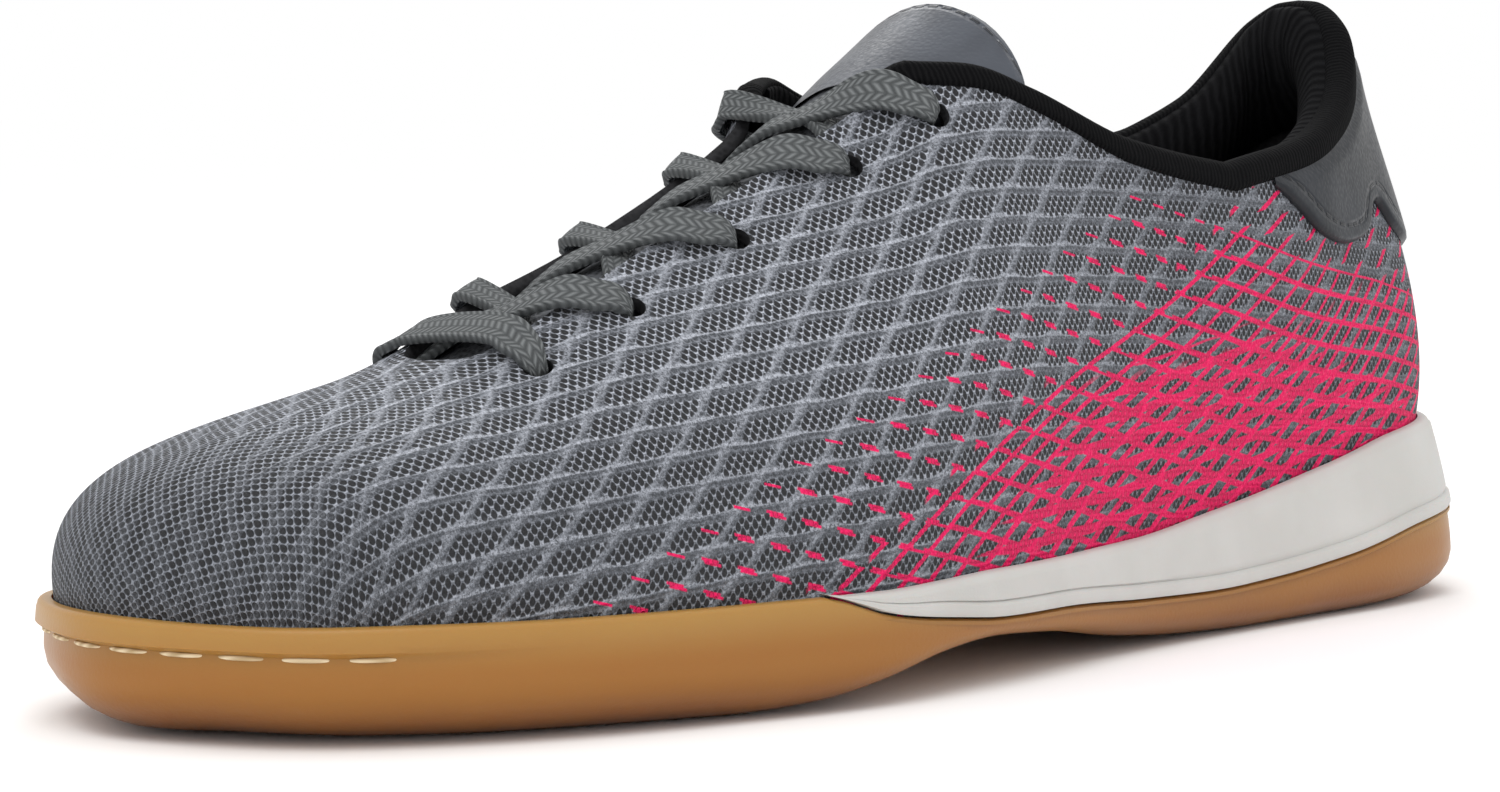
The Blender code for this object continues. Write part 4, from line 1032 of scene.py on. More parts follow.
def printed_lines(name):
    """The printed line net. Round and Rise are millimetres from the back of the heel and up from the sole.
    One family of lines falls towards the heel and begins as dashes, a second one climbs towards the heel
    and a third one runs level and broad, which leaves small eyes of bare knit between them."""
    group = bpy.data.node_groups.new(name, "ShaderNodeTree")
    for socket in ("Round", "Rise"):
        group.interface.new_socket(socket, in_out="INPUT", socket_type="NodeSocketFloat")
    group.interface.new_socket("Print", in_out="OUTPUT", socket_type="NodeSocketFloat")
    given = group.nodes.new("NodeGroupInput").outputs
    made = group.nodes.new("NodeGroupOutput").inputs
    spacing, dash_pitch, upper_dash_pitch, ink_edge = 4.45, 6.2, 4.2, 0.12
    front_start, front_step, first_place, fan_middle = 243.0, 5.7, 10.4, 200.0
    gentle_fall, steeper_fall = 0.26, 0.045
    climb_spacing, climb_slope, climb_curve = 6.6, 1.3, 0.014
    level_spacing, level_slope, level_shake = 4.3, 0.05, 2.0
    spot = add_node(group, "ShaderNodeCombineXYZ", {0: given["Round"], 1: given["Rise"]}).outputs[0]
    rough = minus(group, noise(group, spot, 1.5, 3.0, 0.7), 0.5)
    shake = minus(group, noise(group, spot, 0.06, 1.0), 0.5)
    round_way = plus(group, given["Round"], times(group, rough, 0.7))
    rise = plus(group, given["Rise"], times(group, rough, 0.35))

    def line(value, pitch, half):
        """How far inside a line of half width `half` a value lies, with one line to each pitch."""
        turn = ratio(group, value, pitch)
        off = calc(group, "ABSOLUTE", minus(group, calc(group, "FRACT", turn), 0.5))
        off = times(group, off, pitch)
        inner = minus(group, half, ink_edge)
        outer = plus(group, half, ink_edge)
        return ramp(group, off, outer, inner)

    bend = ramp(group, round_way, 150.0, 70.0)
    fall = plus(group, gentle_fall, times(group, bend, steeper_fall))
    first = minus(group, rise, times(group, minus(group, round_way, fan_middle), fall))
    number = calc(group, "FLOOR", ratio(group, plus(group, first, first_place), spacing))
    front = minus(group, front_start, times(group, number, front_step))
    behind = minus(group, front, round_way)
    top = ramp(group, number, 18.6, 18.4)
    solid = ramp(group, behind, 30.0, 30.6)
    dash_turn = calc(group, "FRACT", ratio(group, behind, dash_pitch))
    dash = times(group, ramp(group, dash_turn, 0.52, 0.46), ramp(group, dash_turn, 0.0, 0.05))
    dash = times(group, dash, ramp(group, behind, 0.0, 0.2))
    shown = largest(group, solid, dash)
    lens_low = minus(group, 178.0, times(group, rise, 1.35))
    lens_top = calc(group, "MINIMUM", plus(group, times(group, round_way, 0.42), -10.0), 31.0)
    dense = times(group, ramp(group, minus(group, lens_low, round_way), -6.0, 10.0),
                 ramp(group, minus(group, lens_top, rise), -3.0, 5.0))
    offset = plus(group, first, 8.175)
    falling = line(offset, spacing, plus(group, 0.43, times(group, dense, 0.14)))
    falling = times(group, times(group, falling, shown), top)
    square = times(group, times(group, rise, rise), climb_curve)
    second = plus(group, plus(group, round_way, times(group, rise, climb_slope)), square)
    wide = plus(group, ramp(group, rise, 0.0, 60.0, 0.72, 1.40), times(group, dense, 0.45))
    climbing = line(second, climb_spacing, wide)
    even = calc(group, "FRACT", ratio(group, second, 2 * climb_spacing))
    even = largest(group, ramp(group, even, 0.52, 0.48), ramp(group, rise, 29.0, 26.0))
    climbing = times(group, climbing, even)
    upper_dash = calc(group, "FRACT", ratio(group, rise, upper_dash_pitch))
    upper_dash = times(group, ramp(group, upper_dash, 0.62, 0.54), ramp(group, number, 22.6, 22.4))
    net = largest(group, top, upper_dash)
    climbing = times(group, times(group, climbing, net), ramp(group, behind, 24.0, 25.0))
    third = plus(group, rise, times(group, round_way, level_slope))
    third = plus(group, third, times(group, shake, level_shake))
    level_wide = times(group, dense, 0.78)
    level_lines = times(group, line(third, level_spacing, level_wide), ramp(group, dense, 0.1, 0.4))
    net = largest(group, largest(group, falling, climbing), level_lines)
    join(group, made["Print"], net)
    return group


def uv_millimetres(tree, name):
    """The two numbers of a UV map, which these maps hold in millimetres."""
    uv = add_node(tree, "ShaderNodeUVMap", uv_map=name).outputs[0]
    parts = add_node(tree, "ShaderNodeSeparateXYZ", {0: uv}).outputs
    return parts["X"], parts["Y"]


mesh_cloth, mesh_tree, mesh_shader = new_material("knitted_mesh_printed")
across, up = uv_millimetres(mesh_tree, "cloth")
round_way, rise = uv_millimetres(mesh_tree, "side")
cells = add_node(mesh_tree, "ShaderNodeGroup", node_tree=knit_cells("knit_cells"))
for socket, value in (("Across", across), ("Up", up), *KNIT_CELL.items()):
    join(mesh_tree, cells.inputs[socket], value)
object_place = add_node(mesh_tree, "ShaderNodeTexCoord").outputs["Object"]
lengthwise = add_node(mesh_tree, "ShaderNodeSeparateXYZ", {0: object_place}).outputs["X"]
toe_plain = ramp(mesh_tree, lengthwise, PLAIN_FROM, PLAIN_TO, 0.0, PLAIN_MOST)
join(mesh_tree, cells.inputs["Plain"], toe_plain)
print_node = add_node(mesh_tree, "ShaderNodeGroup", node_tree=printed_lines("printed_lines"))
join(mesh_tree, print_node.inputs["Round"], round_way)
join(mesh_tree, print_node.inputs["Rise"], rise)
mesh_spot = add_node(mesh_tree, "ShaderNodeCombineXYZ", {0: across, 1: up}).outputs[0]
fleck = noise(mesh_tree, mesh_spot, 1.7, 3.0, 0.85)
# Painted glints: where the fleck noise is high the yarn is painted lighter, standing in for the shine of
# the yarn.
sparkle = ramp(mesh_tree, fleck, 0.50, 0.64)
cloud = noise(mesh_tree, mesh_spot, 0.03, 3.0)
grey = mix_colour(mesh_tree, ramp(mesh_tree, cloud, 0.3, 0.7), GREY_DARK, GREY_LIGHT)
grey = mix_colour(mesh_tree, times(mesh_tree, sparkle, 0.45), grey, FLECK_GLINT)
dull = ramp(mesh_tree, fleck, 0.48, 0.36)
grey = mix_colour(mesh_tree, times(mesh_tree, dull, 0.6), grey, FLECK_DARK)
# Painted highlight on the holes' lower rims, stronger higher up the side and further from the heel.
lit_rim = times(mesh_tree, cells.outputs["Rim"], ramp(mesh_tree, rise, 2.0, 45.0, 0.35, 1.0))
lit_rim = times(mesh_tree, lit_rim, ramp(mesh_tree, round_way, 110.0, 210.0, 0.5, 1.0))
grey = mix_colour(mesh_tree, lit_rim, grey, RIM_HIGHLIGHT)
# Painted highlight on the light yarn of the cells' edges, stronger higher up the side and further from the
# heel.
bright = times(mesh_tree, cells.outputs["Edge"], ramp(mesh_tree, fleck, 0.36, 0.60, 0.15, 1.0))
painted_edge_light = ramp(mesh_tree, rise, 2.0, 45.0, 0.55, 1.0)
painted_edge_light = times(mesh_tree, painted_edge_light, ramp(mesh_tree, round_way, 110.0, 210.0, 0.35, 1.0))
bright = times(mesh_tree, bright, painted_edge_light)
grey = mix_colour(mesh_tree, bright, grey, EDGE_YARN_AND_HIGHLIGHT)
grey = mix_colour(mesh_tree, times(mesh_tree, cells.outputs["Open"], 0.93), grey, OPEN_BLACK)
print_left = minus(mesh_tree, 1.0, times(mesh_tree, cells.outputs["Open"], 0.22))
print_shade = times(mesh_tree, print_node.outputs["Print"], print_left)
# The same painted glints make the print a brighter pink.
pink = mix_colour(mesh_tree, sparkle, PINK, PINK_SPARKLE)
mesh_colour = mix_colour(mesh_tree, print_shade, grey, pink)
join(mesh_tree, mesh_shader.inputs["Base Color"], mesh_colour)
join(mesh_tree, mesh_shader.inputs["Roughness"], ramp(mesh_tree, sparkle, 0.0, 1.0, 0.62, 0.40))
mesh_shader.inputs["Specular IOR Level"].default_value = 0.15
bump(mesh_tree, mesh_shader, cells.outputs["Height"], MILLIMETRE)

throat_places = loop_places()
rib_shares = np.linspace(0, 1, RIB_STEPS + 1)
skin = np.array([
    [rib(side, around, float(share)) for side, around in throat_places] for share in rib_shares
])
bed_row = skin[0].copy()
bed_row[:, 2] = [sole_height("bed", float(outline_point(s, a)[0][0])) + GAP for s, a in throat_places]
rows_way, over_way = cloth_directions(skin)
widest = int(WIDEST_SHARE * len(throat_places))
cloth_up = 1000 * laid_flat(skin, over_way)
cloth_up -= cloth_up[0, widest]
cloth_across = 1000 * laid_flat(skin, rows_way)
cloth_uv = np.stack([cloth_across, cloth_up], axis=-1)
rim_steps = np.linalg.norm(np.diff(skin[0], axis=0), axis=1)
rim_run = np.concatenate([[0.0], np.cumsum(rim_steps)])
rim_run = np.minimum(rim_run, rim_run[-1] - rim_run)
side_uv = np.stack([1000 * np.broadcast_to(rim_run, skin.shape[:2]), 1000 * rib_run(skin)], axis=-1)
skin_rows = np.concatenate([bed_row[None], skin])
cloth_rows = np.concatenate([cloth_uv[:1], cloth_uv])
side_rows = np.concatenate([side_uv[:1], side_uv])
upper_shape = bmesh.new()
lay_grid(upper_shape, skin_rows, [("cloth", cloth_rows), ("side", side_rows)])
upper = to_piece("upper_mesh", upper_shape, ["upper"], [mesh_cloth, liner], crease=60)
wall = upper.modifiers.new("Wall", "SOLIDIFY")
wall.thickness = WALL
wall.offset = -1
wall.use_even_offset = True
wall.material_offset = 1
wall.material_offset_rim = 1
apply_modifiers(upper)
holes_shape = bmesh.new()
for number in range(len(EYELETS["around"])):
    for side in (LATERAL, MEDIAL):
        point, normal = eyelet_place(side, number)
        turn = Matrix.Translation(point) @ normal.to_track_quat("Z", "Y").to_matrix().to_4x4()
        bmesh.ops.create_cone(
            holes_shape, cap_ends=True, segments=20, radius1=EYELET_RADIUS, radius2=EYELET_RADIUS,
            depth=6 * WALL, matrix=turn,
        )
cut(upper, holes_shape, "eyelet_punch", liner)


# Tongue: a soft padded strip of grey cloth under the lacing. Its top end is covered with a thin metallic
# grey synthetic leather, folded over the edge and stitched down along a hem.

TONGUE_HEIGHT, TONGUE_THICKNESS = 0.1035, 0.0048
TONGUE_HALF_WIDTH, TONGUE_ARCH_RADIUS = 0.0215, 0.0215
TONGUE_SECTIONS = table(
    "along crown half_width thickness arch",
    (0.165, -0.140, 0.45, 0.45, 0.80),
    (0.190, -0.075, 0.58, 0.55, 0.80),
    (0.205, -0.030, 0.64, 0.62, 0.82),
    (0.225, 0.030, 0.67, 0.65, 0.90),
    (0.262, 0.128, 0.69, 0.70, 1.00),
    (0.328, 0.290, 0.71, 0.80, 1.12),
    (0.405, 0.482, 0.73, 0.90, 1.18),
    (0.460, 0.650, 0.78, 1.00, 1.08),
    (0.510, 0.813, 0.88, 1.00, 1.00),
    (0.545, 0.921, 0.96, 1.00, 1.00),
    (0.570, 1.000, 1.00, 0.90, 1.00),
)
TIP_CURVE = 0.0030
LEATHER_START = 0.485
LEATHER_THICKNESS = 0.0007
PAD_SQUARENESS, TIP_ROUND_RATE, TIP_LEAST = 0.55, 9, 0.25
TONGUE_TURNS, TONGUE_STEPS, LEATHER_STEPS = 49, 90, 60
TONGUE_TIP_AFTER = 0.52
# A darker colour for the leather along its edge, and the grey stitch thread.
LEATHER_EDGE_DARK, THREAD_GREY = (0.03, 0.03, 0.033, 1), (0.014, 0.015, 0.017, 1)
TONGUE_DARK, TONGUE_LIGHT = (0.035, 0.037, 0.040, 1), (0.105, 0.110, 0.120, 1)
TOP_LIGHT, TOP_DARK = (0.080, 0.088, 0.105, 1), (0.042, 0.046, 0.056, 1)
TOP_HEM_INSET, TOP_STITCH = 2.6, 2.9


def tongue_surface(along, across):
    """A point on top of the tongue. across runs from -1 at the lateral edge to 1 at the medial edge."""
    x = (along - 0.5) * LENGTH
    half = TONGUE_HALF_WIDTH * read(TONGUE_SECTIONS, "half_width", along)
    crown = blend(THROAT_HEIGHT, TONGUE_HEIGHT, read(TONGUE_SECTIONS, "crown", along))
    middle = BALL_WIDTH * read(MIDDLE_LINE, "shift", along)
    arch = read(TONGUE_SECTIONS, "arch", along) / (2 * TONGUE_ARCH_RADIUS)
    tilt = MEDIAL_DROP * read(MIDDLE_LINE, "drop", along) / (2 * THROAT_HALF)
    y = across * half
    return Vector((x, middle + y, crown - arch * y * y - tilt * y))


def tongue_along(share, across, first):
    """The tongue's end is curved: towards its edges it stops sooner."""
    last = TONGUE_SECTIONS["along"][-1] - TIP_CURVE / LENGTH * abs(across) ** 4
    return blend(first, last, share)


def tongue_body(first, turns, steps, grow):
    """Rings round the tongue from first to its curved end, grown outwards all round by grow."""
    rings, marks = [], []
    for k in range(steps + 1):
        ring, mark = [], []
        for turn in turns:
            across = math.cos(turn)
            side = math.sin(turn)
            along = tongue_along(k / steps, across, first)
            thick = TONGUE_THICKNESS * read(TONGUE_SECTIONS, "thickness", along)
            point = tongue_surface(along, across)
            end = min(1.0, (1 - k / steps) * TIP_ROUND_RATE + TIP_LEAST)
            depth = thick / 2 * (1 - math.copysign(abs(side) ** PAD_SQUARENESS, side) * end)
            lift = grow * side
            half = TONGUE_HALF_WIDTH * read(TONGUE_SECTIONS, "half_width", along)
            ring.append((point.x, point.y + grow * across, point.z - depth + lift))
            mark.append((1000 * half * across, 1000 * LENGTH * (TONGUE_SECTIONS["along"][-1] - along)))
        rings.append(ring)
        marks.append(mark)
    return np.array(rings), np.array(marks)


def stitched_hem(name):
    """A sewn hem. Along and Edge are millimetres along the edge and in from it. Thread is the stitches, and
    Height the relief in millimetres: a folded edge, a shallow channel and the thread in it."""
    group = bpy.data.node_groups.new(name, "ShaderNodeTree")
    for socket in ("Along", "Edge", "Inset", "Stitch"):
        group.interface.new_socket(socket, in_out="INPUT", socket_type="NodeSocketFloat")
    for socket in ("Thread", "Height"):
        group.interface.new_socket(socket, in_out="OUTPUT", socket_type="NodeSocketFloat")
    given = group.nodes.new("NodeGroupInput").outputs
    made = group.nodes.new("NodeGroupOutput").inputs
    off = calc(group, "ABSOLUTE", minus(group, given["Edge"], given["Inset"]))
    turn = calc(group, "FRACT", ratio(group, given["Along"], given["Stitch"]))
    length = times(group, ramp(group, turn, 0.0, 0.14), ramp(group, turn, 0.80, 0.62))
    thread = times(group, ramp(group, off, 0.42, 0.12), length)
    join(group, made["Thread"], thread)
    channel = times(group, ramp(group, off, 0.9, 0.0), -0.35)
    fold = times(group, ramp(group, given["Edge"], 0.0, 0.9), 0.25)
    height = plus(group, plus(group, channel, fold), times(group, thread, 0.32))
    join(group, made["Height"], height)
    return group


def grain(tree, vector, scale):
    """Fine pebble grain of coated synthetic leather, from 0 to 1."""
    cell = add_node(tree, "ShaderNodeTexVoronoi", {"Vector": vector, "Scale": scale}, feature="SMOOTH_F1")
    return cell.outputs["Distance"]


def leather_finish(name, light, dark, uv, inset, stitch):
    """Metallic grey synthetic leather with a stitched hem, for the tongue's top and the heel tab."""
    material, tree, shader = new_material(name)
    along, edge = uv_millimetres(tree, uv)
    place = add_node(tree, "ShaderNodeTexCoord").outputs["Object"]
    hem = add_node(tree, "ShaderNodeGroup", node_tree=bpy.data.node_groups["stitched_hem"])
    for socket, value in (("Along", along), ("Edge", edge), ("Inset", inset), ("Stitch", stitch)):
        join(tree, hem.inputs[socket], value)
    pebble = grain(tree, place, 1500.0)
    cloud = noise(tree, place, 60.0, 3.0)
    colour = mix_colour(tree, ramp(tree, cloud, 0.3, 0.7), dark, light)
    # The leather is darker within a millimetre of its edge.
    colour = mix_colour(tree, times(tree, ramp(tree, edge, 0.8, 0.0), 0.5), colour, LEATHER_EDGE_DARK)
    colour = mix_colour(tree, times(tree, hem.outputs["Thread"], 0.8), colour, THREAD_GREY)
    join(tree, shader.inputs["Base Color"], colour)
    join(tree, shader.inputs["Roughness"], ramp(tree, pebble, 0.0, 0.8, 0.34, 0.46))
    shader.inputs["Metallic"].default_value = 0.2
    shader.inputs["Specular IOR Level"].default_value = 0.2
    relief = plus(tree, hem.outputs["Height"], times(tree, pebble, 0.05))
    bump(tree, shader, relief, MILLIMETRE)
    return material


stitched_hem("stitched_hem")
tongue_cloth, tongue_tree, tongue_shader = new_material("grey_tongue_cloth")
tongue_place = add_node(tongue_tree, "ShaderNodeTexCoord").outputs["Object"]
tongue_weave = add_node(
    tongue_tree, "ShaderNodeTexVoronoi", {"Vector": tongue_place, "Scale": 1100.0}
).outputs["Distance"]
tongue_shade = ramp(tongue_tree, tongue_weave, 0.0, 0.7)
tongue_colour = mix_colour(tongue_tree, tongue_shade, TONGUE_DARK, TONGUE_LIGHT)
join(tongue_tree, tongue_shader.inputs["Base Color"], tongue_colour)
tongue_shader.inputs["Roughness"].default_value = 0.75
tongue_shader.inputs["Specular IOR Level"].default_value = 0.15
bump(tongue_tree, tongue_shader, tongue_weave, 0.0003)

tongue_turns = np.linspace(0, 2 * math.pi, TONGUE_TURNS)
tongue_rings = tongue_body(TONGUE_SECTIONS["along"][0], tongue_turns, TONGUE_STEPS, 0.0)[0]
tongue_shape = bmesh.new()
lay_grid(tongue_shape, tongue_rings)
bmesh.ops.remove_doubles(tongue_shape, verts=tongue_shape.verts, dist=MERGE_DISTANCE)
bmesh.ops.holes_fill(tongue_shape, edges=tongue_shape.edges)
tongue = to_piece("tongue_pad", tongue_shape, ["tongue"], [tongue_cloth], crease=70)

leather_rings, leather_marks = tongue_body(LEATHER_START, tongue_turns, LEATHER_STEPS, LEATHER_THICKNESS)
leather_shape = bmesh.new()
lay_grid(leather_shape, leather_rings, [("hem", leather_marks)])
bmesh.ops.remove_doubles(leather_shape, verts=leather_shape.verts, dist=MERGE_DISTANCE)
tip_edges = [
    edge for edge in leather_shape.edges
    if edge.is_boundary and min(v.co.x for v in edge.verts) > (TONGUE_TIP_AFTER - 0.5) * LENGTH
]
bmesh.ops.holes_fill(leather_shape, edges=tip_edges)
tongue_leather = leather_finish("tongue_leather", TOP_LIGHT, TOP_DARK, "hem", TOP_HEM_INSET, TOP_STITCH)
to_piece("tongue_top", leather_shape, ["tongue"], [tongue_leather], crease=60)


# Collar: a soft foam lining covered with ribbed black cloth, and a black knitted binding that is rolled
# over the top edge of the upper from one throat corner to the other.

COLLAR_PAD, COLLAR_DEPTH, BINDING_HEIGHT = 0.0072, 0.0240, 0.0034
BINDING_FLAP, BINDING_OUT, BINDING_END = 0.0016, 0.0009, 0.579
COLLAR_STEPS = 120
LINING_RIB, LINING_RELIEF, BINDING_RIB, BINDING_RELIEF = 2.3, 0.35, 0.9, 0.12
LINING_DARK, LINING_LIGHT = (0.0035, 0.0035, 0.004, 1), (0.010, 0.010, 0.011, 1)
BINDING_DARK, BINDING_LIGHT = (0.0025, 0.0025, 0.003, 1), (0.0075, 0.0075, 0.008, 1)
COLLAR_SECTIONS = table(
    "around pad depth",
    (0.000, 1.00, 1.00),
    (0.150, 1.00, 1.00),
    (0.350, 0.82, 0.90),
    (0.440, 0.60, 0.75),
    (0.500, 0.36, 0.55),
    (0.555, 0.22, 0.40),
)


def skin_place(side, around, inwards, down):
    """A point that lies inwards from the upper's outer skin and down the rib from its top edge."""
    run = (upper_top(side, around) - upper_foot(side, around)[0]).length * RIB_FULLNESS
    point, normal, up = upper_frame(side, around, 1 - max(down, 0) / run)
    return point - normal * inwards + up * max(-down, 0)


def collar_route(steps, last):
    places = np.linspace(last, 0, steps)
    return [(LATERAL, float(a)) for a in places] + [(MEDIAL, float(a)) for a in places[-2::-1]]


def collar_sweep(section, steps, last):
    """Rings of a section along the collar, with the distances along it and round the section."""
    rings = []
    for side, around in collar_route(steps, last):
        pad = COLLAR_PAD * float(read(COLLAR_SECTIONS, "pad", around))
        depth = COLLAR_DEPTH * float(read(COLLAR_SECTIONS, "depth", around))
        rings.append([skin_place(side, around, a, b) for a, b in section(pad, depth)])
    rings = np.array(rings)
    along = np.concatenate([[0], np.cumsum(np.linalg.norm(np.diff(rings[:, 0], axis=0), axis=1))])
    across = rib_run(rings.transpose(1, 0, 2)).T
    marks = np.stack([1000 * np.broadcast_to(along[:, None], across.shape), 1000 * across], axis=-1)
    return rings, marks


def lining_section(pad, depth):
    inner = WALL + 2 * GAP
    knots = [
        (inner + 0.10 * pad, -0.80 * BINDING_HEIGHT),
        (inner + 0.55 * pad, -0.75 * BINDING_HEIGHT),
        (inner + 0.92 * pad, 0.06 * depth),
        (inner + pad, 0.26 * depth),
        (inner + 0.84 * pad, 0.55 * depth),
        (inner + 0.35 * pad, 0.88 * depth),
        (inner + 0.04 * pad, depth),
    ]
    front = catmull(knots, 5, False)
    return [tuple(p) for p in front] + [(inner, 0.5 * depth), (inner, -GAP), knots[0]]


def binding_section(pad, depth):
    inner = WALL + 2 * GAP
    knots = [
        (-GAP * 0.5, BINDING_FLAP),
        (-0.85 * BINDING_OUT, 0.60 * BINDING_FLAP),
        (-BINDING_OUT, -0.10 * BINDING_HEIGHT),
        (-0.6 * BINDING_OUT, -0.62 * BINDING_HEIGHT),
        (0.20 * BINDING_HEIGHT, -0.95 * BINDING_HEIGHT),
        (0.55 * BINDING_HEIGHT, -1.05 * BINDING_HEIGHT),
        (inner + 0.15 * pad, -0.95 * BINDING_HEIGHT),
        (inner + 0.24 * pad, -0.55 * BINDING_HEIGHT),
        (inner, -GAP),
    ]
    return [tuple(p) for p in catmull(knots, 4, False)] + [knots[0]]


def black_knit(name, pitch, colour_low, colour_high, relief):
    """Black cloth whose fine ribs stand across the collar."""
    material, tree, shader = new_material(name)
    along, across = uv_millimetres(tree, "strip")
    spot = add_node(tree, "ShaderNodeCombineXYZ", {0: along, 1: across}).outputs[0]
    bend = times(tree, minus(tree, noise(tree, spot, 0.25, 2.0), 0.5), 1.6)
    turn = ratio(tree, plus(tree, along, bend), pitch)
    wave = plus(tree, 0.5, times(tree, calc(tree, "SINE", times(tree, turn, math.tau)), 0.5))
    knit = noise(tree, spot, 3.5, 2.0, 0.7)
    both = times(tree, wave, ramp(tree, knit, 0.3, 0.7, 0.6, 1.0))
    join(tree, shader.inputs["Base Color"], mix_colour(tree, both, colour_low, colour_high))
    shader.inputs["Roughness"].default_value = 0.85
    shader.inputs["Specular IOR Level"].default_value = 0.05
    height = plus(tree, times(tree, wave, relief), times(tree, knit, 0.12))
    bump(tree, shader, height, MILLIMETRE)
    return material


lining_cloth = black_knit("ribbed_lining_cloth", LINING_RIB, LINING_DARK, LINING_LIGHT, LINING_RELIEF)
binding_cloth = black_knit("binding_knit", BINDING_RIB, BINDING_DARK, BINDING_LIGHT, BINDING_RELIEF)
for name, section, cloth, last in (
    ("collar_lining", lining_section, lining_cloth, float(COLLAR_SECTIONS["around"][-1])),
    ("collar_binding", binding_section, binding_cloth, BINDING_END),
):
    rings, marks = collar_sweep(section, COLLAR_STEPS, last)
    shape = bmesh.new()
    lay_grid(shape, rings, [("strip", marks)])
    bmesh.ops.remove_doubles(shape, verts=shape.verts, dist=MERGE_DISTANCE)
    bmesh.ops.holes_fill(shape, edges=shape.edges)
    piece = to_piece(name, shape, ["collar"], [cloth], crease=60)


# Heel tab: smooth metallic grey synthetic leather sewn over the back of the collar. Its lower edge has
# three lobes, and a row of stitches follows it.

TAB_THICKNESS = 0.0012
HEEL_TAB_EDGE = table(
    "around level",
    (0.000, 0.420),
    (0.060, 0.430),
    (0.100, 0.485),
    (0.125, 0.560),
    (0.150, 0.680),
    (0.162, 0.690),
    (0.180, 0.640),
    (0.205, 0.655),
    (0.235, 0.700),
    (0.265, 0.770),
    (0.290, 0.860),
    (0.315, 0.955),
)
TAB_STEPS, TAB_ROWS = 150, 26
TAB_TOP, TAB_CROWDING = 0.997, 1.25
TAB_EDGE_THINNING, TAB_TUCK_THINNING = 0.25, 0.15
TAB_TUCK_FROM, TAB_TUCK_LENGTH = 0.0008, 0.0030
TAB_HEM_INSET, TAB_STITCH = 3.0, 3.4
TAB_LIGHT, TAB_DARK = (0.026, 0.029, 0.035, 1), (0.014, 0.016, 0.019, 1)


def share_at_level(side, around, level):
    """Where on a rib a level between the sole's rim (0) and the top edge (1) lies."""
    places = np.linspace(0, 1, 41)
    heights = [rib(side, around, float(share)).z for share in places]
    return float(np.interp(blend(heights[0], heights[-1], level), heights, places))


tab_reach = float(HEEL_TAB_EDGE["around"][-1])
tab_skin = []
tab_faces = []
for k in range(TAB_STEPS + 1):
    side, around = wrap(LATERAL, blend(-tab_reach, tab_reach, k / TAB_STEPS))
    low = share_at_level(side, around, float(read(HEEL_TAB_EDGE, "level", around)))
    column, facing = [], []
    for j in range(TAB_ROWS + 1):
        point, normal, _ = upper_frame(side, around, blend(low, TAB_TOP, (j / TAB_ROWS) ** TAB_CROWDING))
        column.append(point)
        facing.append(normal)
    tab_skin.append(column)
    tab_faces.append(facing)
tab_skin, tab_faces = np.array(tab_skin).transpose(1, 0, 2), np.array(tab_faces).transpose(1, 0, 2)
edge_line = tab_skin[0]
edge_run = np.concatenate([[0], np.cumsum(np.linalg.norm(np.diff(edge_line, axis=0), axis=1))])
spread = np.linalg.norm(tab_skin[:, :, None] - edge_line[None, None], axis=3)
tab_marks = np.stack([1000 * edge_run[spread.argmin(axis=2)], 1000 * spread.min(axis=2)], axis=-1)
soft_edge = np.clip(tab_marks[:, :, 1:2] / 1.0, 0, 1) ** 0.5
from_top = np.linalg.norm(tab_skin - tab_skin[-1:], axis=2)[:, :, None]
untucked = soft_step((from_top - TAB_TUCK_FROM) / TAB_TUCK_LENGTH)
tucked = TAB_TUCK_THINNING + (1 - TAB_TUCK_THINNING) * untucked
edge_shape = TAB_EDGE_THINNING + (1 - TAB_EDGE_THINNING) * soft_edge
outer = tab_skin + tab_faces * (GAP + TAB_THICKNESS * edge_shape * tucked)
inner = tab_skin + tab_faces * GAP * 0.3
tab_shape = bmesh.new()
lay_grid(tab_shape, np.concatenate([inner[:1], outer, inner[-1:]]), [
    ("hem", np.concatenate([tab_marks[:1], tab_marks, tab_marks[-1:]])),
])
tab_leather = leather_finish("tab_leather", TAB_LIGHT, TAB_DARK, "hem", TAB_HEM_INSET, TAB_STITCH)
to_piece("heel_tab_leather", tab_shape, ["heel_tab"], [tab_leather], crease=60)


# Lace: one flat braided lace. A straight bar crosses the first pair of eyelets, and above it each strand
# comes out from under one side of the throat, crosses the tongue and goes down into the next eyelet of the
# other side. Its ends stop out of sight under the top eyelets.

LACE_WIDTH, LACE_THICKNESS = 0.0066, 0.0014
LACE_STAND, LACE_CLEARANCE = 0.0009, 0.0042
LACE_SLACK, LACE_PILE = 0.0002, 0.85 * LACE_THICKNESS
BAND_WIDTH, HOLE_WIDTH = 0.0048, 0.0032
FLAT_BACK, FLAT_STAND, FLAT_WIDTH = 0.0052, 0.67, 0.0064
BEND_BACK, BEND_STAND, BEND_WIDTH = 0.0024, 0.44, 0.0050
ENTRY_BACK, ENTRY_DEPTH = 0.0007, 0.0006
END_BACK, END_DEPTH = 0.0006, 0.0042
BAR_LEAN = 0.001
CROSS_SHARE = {LATERAL: 0.60, MEDIAL: 0.40}
OUT_SHARE, IN_SHARE = 0.52, 0.65
HIDDEN_BACK, HIDDEN_UNDER = 0.003, 0.0045
PLAIT_WIDTH, PLAIT_LENGTH = 1.32, 1.45
LACE_STEPS, LACE_TURNS = 12, 25
CORD_HEIGHT, CORD_PLACE, CORD_WIDTH = 0.16, 0.86, 0.10
LACE_SQUARENESS, LACE_EDGE_ROUND = 0.55, 0.8
FAR_TILT, NEAR_TILT = -0.15, -0.45
# The lace's dark colour, which also stands for the shade between its plaits, and a painted highlight on the
# plaits.
PLAIT_DARK, PLAIT_HIGHLIGHT = (0.026, 0.029, 0.030, 1), (0.165, 0.175, 0.178, 1)
FIBRE_LIGHT = (0.19, 0.20, 0.205, 1)


